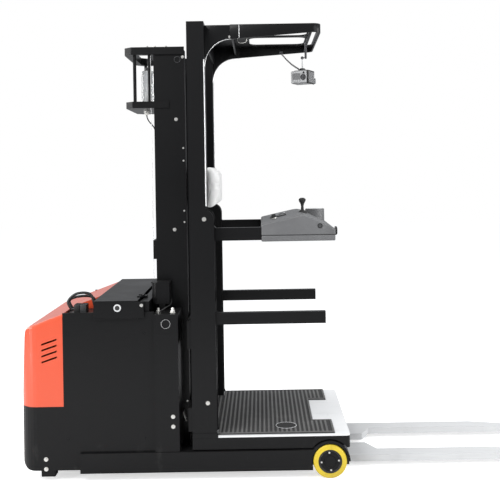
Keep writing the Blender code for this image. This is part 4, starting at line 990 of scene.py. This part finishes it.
def inflate(piece, voxel, pressure, cap):
    """Swells a closed shape as stuffed cloth would, and moves no point by more than the cap."""
    modify(piece, "REMESH", mode="VOXEL", voxel_size=voxel)
    before = [point.co.copy() for point in piece.data.vertices]
    cloth = piece.modifiers.new("stuffing", "CLOTH")
    cloth.settings.use_pressure = True
    cloth.settings.uniform_pressure_force = pressure
    cloth.settings.effector_weights.gravity = 0.0
    scene = bpy.context.scene
    for step in range(1, 21):
        scene.frame_set(step)
    swollen = piece.evaluated_get(bpy.context.evaluated_depsgraph_get())
    after = [point.co.copy() for point in swollen.data.vertices]
    piece.modifiers.remove(cloth)
    scene.frame_set(1)
    for point, old, new in zip(piece.data.vertices, before, after):
        shift = new - old
        if shift.length > cap:
            shift *= cap / shift.length
        point.co = old + shift


def crown(pad):
    """Makes the pad thickest in its middle and thin at its edges, and keeps it in its box."""
    middle = (PAD_LOW.z + PAD_HIGH.z) / 2
    half = (PAD_HIGH.z - PAD_LOW.z) / 2
    for point in pad.data.vertices:
        level = min(1.0, abs(point.co.z - middle) / half)
        side = min(1.0, abs(point.co.y) / PAD_HIGH.y)
        swell = (0.30 + 0.70 * math.sqrt(1.0 - level ** 2.2)) * (0.62 + 0.38 * math.sqrt(1.0 - side ** 4))
        point.co.x = PAD_LOW.x + (point.co.x - PAD_LOW.x) * swell * 1.08
        point.co = Vector(max(low, min(high, value))
                          for low, value, high in zip(PAD_LOW, point.co, PAD_HIGH))


def make_back_pad():
    pad = slab("back_cushion", PAD_LOW + Vector((0.001, 0.010, 0.010)),
               PAD_HIGH - Vector((0.010, 0.010, 0.010)))
    pick_faces(pad, lambda middle, normal: normal.x > 0.99)
    bpy.ops.mesh.inset(thickness=0.050)
    bpy.ops.transform.translate(value=(0.006, 0, 0))
    deselect()
    soften(pad, 0.020, 4, 30)
    inflate(pad, 0.005, 4.0, 0.012)
    crown(pad)
    modify(pad, "SUBSURF", levels=1, render_levels=1)
    dress(pad, VINYL, "carriage", 80, replaces=["back_pad"])


make_back_pad()


# Lanyard reel and what it hangs from

REEL_X = 0.114
REEL_BASE = 2.040
REEL_TURN = math.radians(-25)


def on_reel(piece):
    """Moves a piece from the origin to the reel's base, turned as the reel hangs."""
    piece.matrix_world = Matrix.Translation((REEL_X, 0.0, REEL_BASE)) @ Matrix.Rotation(REEL_TURN, 4, "Z")
    return settle(piece)


def make_reel_case():
    case = slab("reel_case", (-0.053, -0.046, 0.0), (0.053, 0.046, 0.0710), 0.009, 4)
    shoulder = slab("shoulder", (-0.038, -0.030, 0.0680), (0.046, 0.030, 0.0750), 0.003, 2)
    dress(on_reel(join("reel_case", case, shoulder)), GREY, "carriage",
          replaces=["lanyard_reel"])
    band = slab("reel_band", (0.0440, -0.0480, -0.0020), (0.0530, 0.0480, 0.0730), 0.0030, 2)
    dress(on_reel(band), SOOT, "carriage")
    rights = [-0.0400 + 0.0118 * k for k in range(7)]
    ribs = [slab("rib", (0.0500, right, 0.0050), (0.0560, right + 0.0070, 0.0660), 0.0020, 2)
            for right in rights]
    latch = slab("latch", (0.0480, 0.0360, 0.0020), (0.0620, 0.0470, 0.0320), 0.0030, 2)
    dress(on_reel(join("reel_ribs", latch, *ribs)), GREY, "carriage")


def make_reel_panel():
    """The panel on the reel's right side, with its plain field, its dial and its stop button."""
    panel = slab("reel_panel", (-0.050, -0.0485, 0.0050), (0.0430, -0.0450, 0.0660), 0.0020, 2)
    pick_faces(panel, lambda middle, normal: normal.y < -0.99)
    inset_faces(0.0050, (0, 0.0012, 0))
    dress(on_reel(panel), PALE, "carriage")
    field = slab("reel_field", (-0.041, -0.0480, 0.0200), (0.0060, -0.0465, 0.0560), 0.0005, 1)
    dress(on_reel(field), GREY, "carriage")
    dial = stack("dial", 0.0165, 0.0020, ((0.0025, 0.0015), (0.0035, 0.0), (0.0, -0.0018), (0.0030, 0.0),
                                          (0.0, 0.0035), (0.0015, 0.0008)), 32)
    dial = repeat("reel_dial", dial, [((0.0235, -0.0470, 0.0340), (0, -1, 0))])
    dress(on_reel(dial), DARK_STEEL, "carriage")
    stop = stack("stop", 0.0055, 0.0022, ((0.0012, 0.0010),), 20)
    stop = repeat("reel_stop", stop, [((0.0260, -0.0470, 0.0585), (0, -1, 0))])
    dress(on_reel(stop), SOOT, "carriage")


def make_reel_hanger():
    """The reel's cap and strap, and the bracket with the clip that holds the strap."""
    cap = stack("cap", 0.0225, 0.0045, ((0.0025, 0.0020), (0.0055, 0.0020), (0.0, 0.0030),
                                        (0.0020, 0.0015)), 36)
    dress(set_down(cap, (REEL_X, 0.0, REEL_BASE + 0.0745)), SOOT, "carriage")
    strap = slab("reel_strap", (REEL_X - 0.0030, -0.0060, REEL_BASE + 0.0870),
                 (REEL_X + 0.0030, 0.0060, REEL_BASE + 0.1400), 0.0012, 2)
    dress(strap, PALE, "carriage")
    clip_z = REEL_BASE + 0.1460
    bracket = slab("bracket", (REEL_X + 0.0135, -0.0070, clip_z - 0.0050),
                   (REEL_X + 0.0255, 0.0070, Box("reel_hook").top), 0.0025, 2)
    clip = stack("clip", 0.0085, 0.0090, ((0.0020, 0.0), (0.0, -0.0030)), 24)
    clip = repeat("clip", clip, [((REEL_X, -0.0045, clip_z), (0, 1, 0))])
    arm = strand("arm", [(REEL_X + x, 0, clip_z + z) for x, z in ((0, 0), (0.006, 0.0002), (0.012, 0.0010),
                                                                 (0.019, 0.0020))], 0.0026)
    dress(join("reel_hanger", bracket, clip, arm), DARK_STEEL, "carriage",
          replaces=["reel_hook"])


TETHER_TOP = Vector((0.006, 0.3650, 2.2635))
TETHER_END = Vector((REEL_X - 0.0165, 0.0, REEL_BASE + 0.0815))
TETHER_SAG = 0.010
TETHER_LINKS = 29


def tether_link(number):
    """A long link, turned a quarter against its neighbours."""
    deselect()
    bpy.ops.mesh.primitive_torus_add(major_radius=0.0058, minor_radius=0.0013, major_segments=12,
                                     minor_segments=6)
    link = bpy.context.object
    link.scale = (1.45, 0.85, 1.0)
    settle(link)
    share = (number + 0.5) / TETHER_LINKS
    place = TETHER_TOP.lerp(TETHER_END, share) - Vector((0, 0, TETHER_SAG * math.sin(math.pi * share)))
    along = (TETHER_END - TETHER_TOP).to_track_quat("X", "Z").to_matrix().to_4x4()
    quarter = Matrix.Rotation(math.pi / 2 * (number % 2), 4, "X")
    link.matrix_world = Matrix.Translation(place) @ along @ quarter
    return settle(link)


def make_tether():
    """The chain from the reel to the left side of the guard's rim, and the loop under its roof."""
    links = [tether_link(k) for k in range(TETHER_LINKS)]
    x, y, z = TETHER_TOP
    plate = slab("plate", (x - 0.010, y + 0.0005, z - 0.0045), (x + 0.010, y + 0.0045, z + 0.0155),
                 0.0015, 2)
    dress(join("reel_tether", plate, *links), DARK_STEEL, "carriage", 50)
    loop = strand("roof_loop", [(x, 0, z) for x, z in (
        (-0.247, 2.3015), (-0.247, 2.2900), (-0.244, 2.2790), (-0.221, 2.2750), (-0.198, 2.2790),
        (-0.195, 2.2900), (-0.195, 2.3015))], 0.0032, 4)
    dress(loop, ZINC, "carriage", 60)


make_reel_case()
make_reel_panel()
make_reel_hanger()
make_tether()


# Overhead guard

GUARD = Box("overhead_guard")
GUARD_START = GUARD.rear + 0.0001
GUSSET = 0.139             # radius of the brackets' lower edges
BRACKET_HALF = 0.3745
PLATE = 0.009
ROOF_TOP = GUARD.top - 0.0001
ROOF_HALF = 0.366
ROOF_FRONT = 0.150
RIM_HALF = GUARD.left + 0.0025
RIM_FRONT = GUARD.front - 0.0002
RIM_REAR = GUARD.rear + 0.1317
RIM_TOP = GUARD.top + 0.0020
RIM_DEEP = 2.238           # the rim's lower edge at its rear end
RIM_SHALLOW = 2.268        # and at its front
RIM_WALL = 0.0085
RIM_CORNER = 0.045


def rim_side(inset, sign):
    """The rim's plan on one side, from its rear end round its front corner."""
    radius = RIM_CORNER - inset
    centre = (RIM_FRONT - RIM_CORNER, RIM_HALF - RIM_CORNER)
    points = [(RIM_REAR, RIM_HALF - inset)] + arc(centre, radius, 90, 0, 8)
    return [(x, sign * y) for x, y in points]


def make_rim():
    """A bent strip, cut to its tapering side view."""
    plan = (rim_side(0, -1) + rim_side(0, 1)[::-1] + rim_side(RIM_WALL, 1) + rim_side(RIM_WALL, -1)[::-1])
    rim = sheet("guard_rim", [plan], 2.20, 2.40)
    outline = [(RIM_REAR - 0.01, RIM_DEEP), (RIM_FRONT - RIM_CORNER, RIM_SHALLOW),
               (RIM_FRONT + 0.1, RIM_SHALLOW), (RIM_FRONT + 0.1, RIM_TOP), (RIM_REAR - 0.01, RIM_TOP)]
    view = sheet("view", [outline], -0.6, 0.6, upright=True)
    modify(rim, "BOOLEAN", operation="INTERSECT", object=view)
    bpy.data.objects.remove(view)
    return soften(rim, 0.0015, 2, 50)


def make_roof():
    """A plate with one long window on each side."""
    corner = 0.050
    # columns: middle of the corner's arc, its first angle
    corners = ((0.086, 0.260, 0), (-0.131, 0.260, 90), (-0.131, 0.065, 180), (0.086, 0.065, 270))
    window = [point for x, y, first in corners for point in arc((x, y), corner, first, first + 90, 6)]
    outlines = [[(GUARD_START, -ROOF_HALF), (ROOF_FRONT, -ROOF_HALF), (ROOF_FRONT, ROOF_HALF),
                 (GUARD_START, ROOF_HALF)]]
    outlines += [[(x, sign * y) for x, y in window] for sign in (-1, 1)]
    return sheet("roof", outlines, ROOF_TOP - PLATE, ROOF_TOP)


def make_brackets():
    """The plates behind the rim, with a round lower edge into the posts."""
    fillet = arc((GUARD_START + GUSSET, 2.239 - GUSSET), GUSSET, 180, 90, 16)
    outline = [(GUARD_START, 2.100)] + fillet[1:] + [(-0.2450, 2.2395), (-0.2450, ROOF_TOP),
                                                     (GUARD_START, ROOF_TOP)]
    return [soften(sheet("bracket", [outline], low, high, upright=True), 0.0012, 2, 50)
            for low, high in flanks(BRACKET_HALF - PLATE, BRACKET_HALF)]


def make_guard():
    # columns: rear face, half length, lower edge
    bars = ((0.1400, 0.368, 2.2725), (-0.2720, 0.368, 2.2560), (GUARD_START, ROOF_HALF, 2.2000))
    bars = [slab("bar", (rear, -half, low), (rear + 0.0100, half, ROOF_TOP - 0.004), 0.0015, 2)
            for rear, half, low in bars]
    guard = join("overhead_guard_shell", make_rim(), make_roof(), *make_brackets(), *bars)
    dress(guard, BLACK, "carriage", replaces=["overhead_guard"])
    # Painted highlight: a bright line up each side of the rim near its rear end, where the rim's rear edge
    # catches the light
    rim_highlight_lines = [strand("seam", [(-0.2280, sign * RIM_HALF, z) for z in (2.2435, 2.2700, 2.3120)], 0.0016, 3)
             for sign in (-1, 1)]
    dress(join("guard_rim_highlight_lines", *rim_highlight_lines), EDGE_HIGHLIGHT, "carriage", 60)


make_guard()


# Painted highlights: bright strips along edges, where the light catches them

# Painted highlights along the posts' front edges, their lower boxes' front edges and the round lower edges of
# the guard's brackets
def make_post_edge_highlights():
    post = Box("post_left")
    edges = []
    for sign in (-1, 1):
        y = sign * (post.left - 0.0012)
        upper = [(POST_FRONT - 0.0012, y, z) for z in (1.385, 1.500, 1.800, 2.000, 2.130)]
        foot = [(post.front - 0.0012, y, z) for z in (0.620, 0.800, 1.000, 1.180)]
        bend = [(x, sign * (GUARD.left - 0.0010), z)
                for x, z in arc((GUARD.rear + GUSSET, GUARD.low), GUSSET + 0.0003, 180, 90, 12)]
        edges += [strand("edge", upper, 0.0026), strand("edge", foot, 0.0012), strand("edge", bend, 0.0018)]
    dress(join("painted_edge_highlights", *edges), EDGE_HIGHLIGHT, "carriage", 60)


# Painted highlights along the mast's rear edges
def make_mast_edge_highlights():
    mast = Box("outer_mast")
    edges = [strand("edge", [(mast.rear + 0.0010, sign * (mast.left - 0.0012), z)
                             for z in (1.000, 1.400, 1.800, 2.180)], 0.0012) for sign in (-1, 1)]
    dress(join("mast_painted_edge_highlights", *edges), EDGE_HIGHLIGHT, "chassis", 60)


make_post_edge_highlights()
make_mast_edge_highlights()


# Beacon

def make_beacon():
    """What shows through the lens and round it: the neck, the lamp and the collar."""
    lens = Box("beacon_lens")
    # columns: name, stack, lower face, finish, slot
    rings = (
        (("beacon_neck", 0.0185, 0.0030, ((0.0015, 0.0), (0.0, 0.0110), (0.0020, 0.0025)), 32),
         lens.top - 0.0173, SOOT, "black_plastic"),
        (("beacon_lamp", 0.0150, 0.0100, ((0.0030, 0.0), (0.0, 0.0600), (0.0030, 0.0040), (0.0010, 0.0400),
                                          (0.0020, 0.0030)), 24), lens.low + 0.0014, PALE, "pale_plastic"),
        (("beacon_collar", 0.0395, 0.0080, ((0.0015, 0.0015),), 40), lens.low + 0.0002, SOOT,
         "black_plastic"),
    )
    for ring, low, finish, slot in rings:
        dress(set_down(stack(*ring), (lens.x, 0.0, low)), finish, "chassis")


def make_beacon_lead():
    """The gland under the cage and the lead that runs down the mast's rear."""
    x = Box("beacon_lens").x - 0.010
    gland = stack("gland", 0.0170, 0.0090, ((0.0030, 0.0), (0.0, 0.0080), (0.0020, 0.0), (0.0, 0.0030)), 6)
    gland = repeat("beacon_gland", gland, [((x, 0.0, Box("beacon_cage").low - 0.0002), (0, 0, -1))])
    dress(gland, ZINC, "chassis")
    route = ((x, 1.8850), (x, 1.8650), (x + 0.014, 1.8400), (-0.718, 1.8150), (-0.7092, 1.7800),
             (-0.7090, 1.6500), (-0.7090, 1.2000), (-0.7090, 1.0200))
    lead = strand("beacon_lead", [(x, 0, z) for x, z in route], 0.0032, 4)
    dress(lead, HOSE, "chassis", 60)


make_beacon()
make_beacon_lead()


# Mast

def make_mast_fittings():
    """The lifting rings at the mast's head and the row of bolts along its front flange."""
    mast = Box("outer_mast")
    rings = repeat("mast_head_rings", hoop(0.0160, 0.0014),
                   both([(mast.front - 0.037, mast.left + 0.0004, mast.top - 0.050)]))
    dress(rings, DARK_STEEL, "chassis", 60)
    row = [(mast.front - 0.012, mast.left, z) for z in (1.687, 1.620, 1.354, 1.294, 0.345)]
    dress(repeat("mast_edge_bolts", bolt(0.0050, 0.0022, 16), both(row)), ZINC, "chassis")


def make_chain_anchors():
    """A bent shank with a spring round it, low on each side of the mast."""
    coil = 0.0045
    steps = 23             # four to a turn
    for side, sign in SIDES:
        y = sign * (Box("outer_mast").left + 0.0045)
        shank = [(-0.565, y, 0.296), (-0.560, y, 0.284), (-0.551, y, 0.258), (-0.544, y, 0.240)]
        spring = [(-0.555 + 0.012 * k / steps + coil * math.sin(k * math.pi / 2),
                   y + sign * coil * math.cos(k * math.pi / 2), 0.300 - 0.046 * k / steps)
                  for k in range(steps + 1)]
        anchor = join(f"chain_anchor_{side}", strand("shank", shank, 0.0040, 4),
                      strand("spring", spring, 0.0012, 2))
        dress(anchor, ZINC, "chassis", 60)


make_mast_fittings()
make_chain_anchors()


# Camera, lights and floor

def place_camera():
    lens = bpy.data.cameras.new("photo_lens")
    lens.lens = 60.6
    lens.sensor_width = 36.0
    lens.shift_x = -0.022
    lens.shift_y = -0.156
    camera = bpy.data.objects.new("photo_camera", lens)
    camera.location = (-0.1265, -4.70, 1.553)
    camera.rotation_euler = (math.pi / 2, 0.0165, 0.0)
    bpy.context.scene.collection.objects.link(camera)
    bpy.context.scene.camera = camera


def place_lamps():
    # columns: name, place, size, watts, aim
    lamps = (("key_light", (-2.6, -3.2, 4.2), 2.6, 150.0, (0.0, 0.0, 0.9)),
             ("fill_light", (3.2, -3.4, 2.4), 3.0, 70.0, (0.0, 0.0, 0.8)),
             ("top_light", (0.2, 0.4, 4.8), 3.4, 90.0, (0.0, 0.0, 0.0)),
             ("rim_light", (-3.4, 1.2, 2.2), 2.0, 60.0, (-1.0, 0.0, 0.8)),
             ("front_light", (3.2, -0.6, 2.0), 1.8, 60.0, (-0.3, 0.0, 1.4)),
             ("rear_corner_light", (-4.2, -2.6, 1.0), 1.2, 60.0, (-1.3, -0.4, 0.6)))
    for name, place, size, watts, aim in lamps:
        lamp = bpy.data.lights.new(name, "AREA")
        lamp.shape = "DISK"
        lamp.size = size
        lamp.energy = watts
        holder = bpy.data.objects.new(name, lamp)
        holder.location = place
        holder.rotation_euler = (Vector(aim) - Vector(place)).to_track_quat("-Z", "Y").to_euler()
        bpy.context.scene.collection.objects.link(holder)


def make_world():
    """A soft grey light all round, and white where the camera looks past the truck."""
    world = bpy.data.worlds.new("studio")
    bpy.context.scene.world = world
    world.use_nodes = True
    tree = world.node_tree
    soft = tree.nodes["Background"]
    soft.inputs["Color"].default_value = (0.80, 0.82, 0.85, 1.0)
    soft.inputs["Strength"].default_value = 0.55
    seen = tree.nodes.new("ShaderNodeBackground")
    seen.inputs["Color"].default_value = (1.0, 1.0, 1.0, 1.0)
    seen.inputs["Strength"].default_value = 1.0
    mix = tree.nodes.new("ShaderNodeMixShader")
    path = tree.nodes.new("ShaderNodeLightPath")
    tree.links.new(path.outputs["Is Camera Ray"], mix.inputs[0])
    tree.links.new(soft.outputs[0], mix.inputs[1])
    tree.links.new(seen.outputs[0], mix.inputs[2])
    tree.links.new(mix.outputs[0], tree.nodes["World Output"].inputs["Surface"])


def make_floor():
    """A pale matte floor. The camera sees it with a glow on top, so that it ends in the white."""
    bpy.ops.mesh.primitive_plane_add(size=40.0, location=(0, 0, 0))
    floor = bpy.context.object
    floor.name = "studio_floor"
    matte = Finish("pale_floor", Metallic=0.0, Roughness=0.9)
    grains = matte.noise(2.0, 3.0)
    matte.set("Base Color", matte.blend(grains * 0.2, (0.86, 0.86, 0.86), (0.80, 0.80, 0.80)))
    matte.set("Specular IOR Level", 0.0)
    surface = Value(matte, matte.shader.outputs[0])
    glow = matte.node("Emission", inputs={"Color": (1.0, 1.0, 1.0, 1.0), "Strength": 0.62})
    lit = matte.node("AddShader", inputs={0: surface, 1: glow})
    seen = matte.node("LightPath", out="Is Camera Ray")
    mixed = matte.node("MixShader", inputs={0: seen, 1: surface, 2: lit})
    matte.join(mixed, matte.tree.nodes["Material Output"].inputs["Surface"])
    floor.data.materials.append(matte.material)


place_camera()
place_lamps()
make_world()
bpy.context.scene.view_settings.view_transform = "Standard"
make_floor()
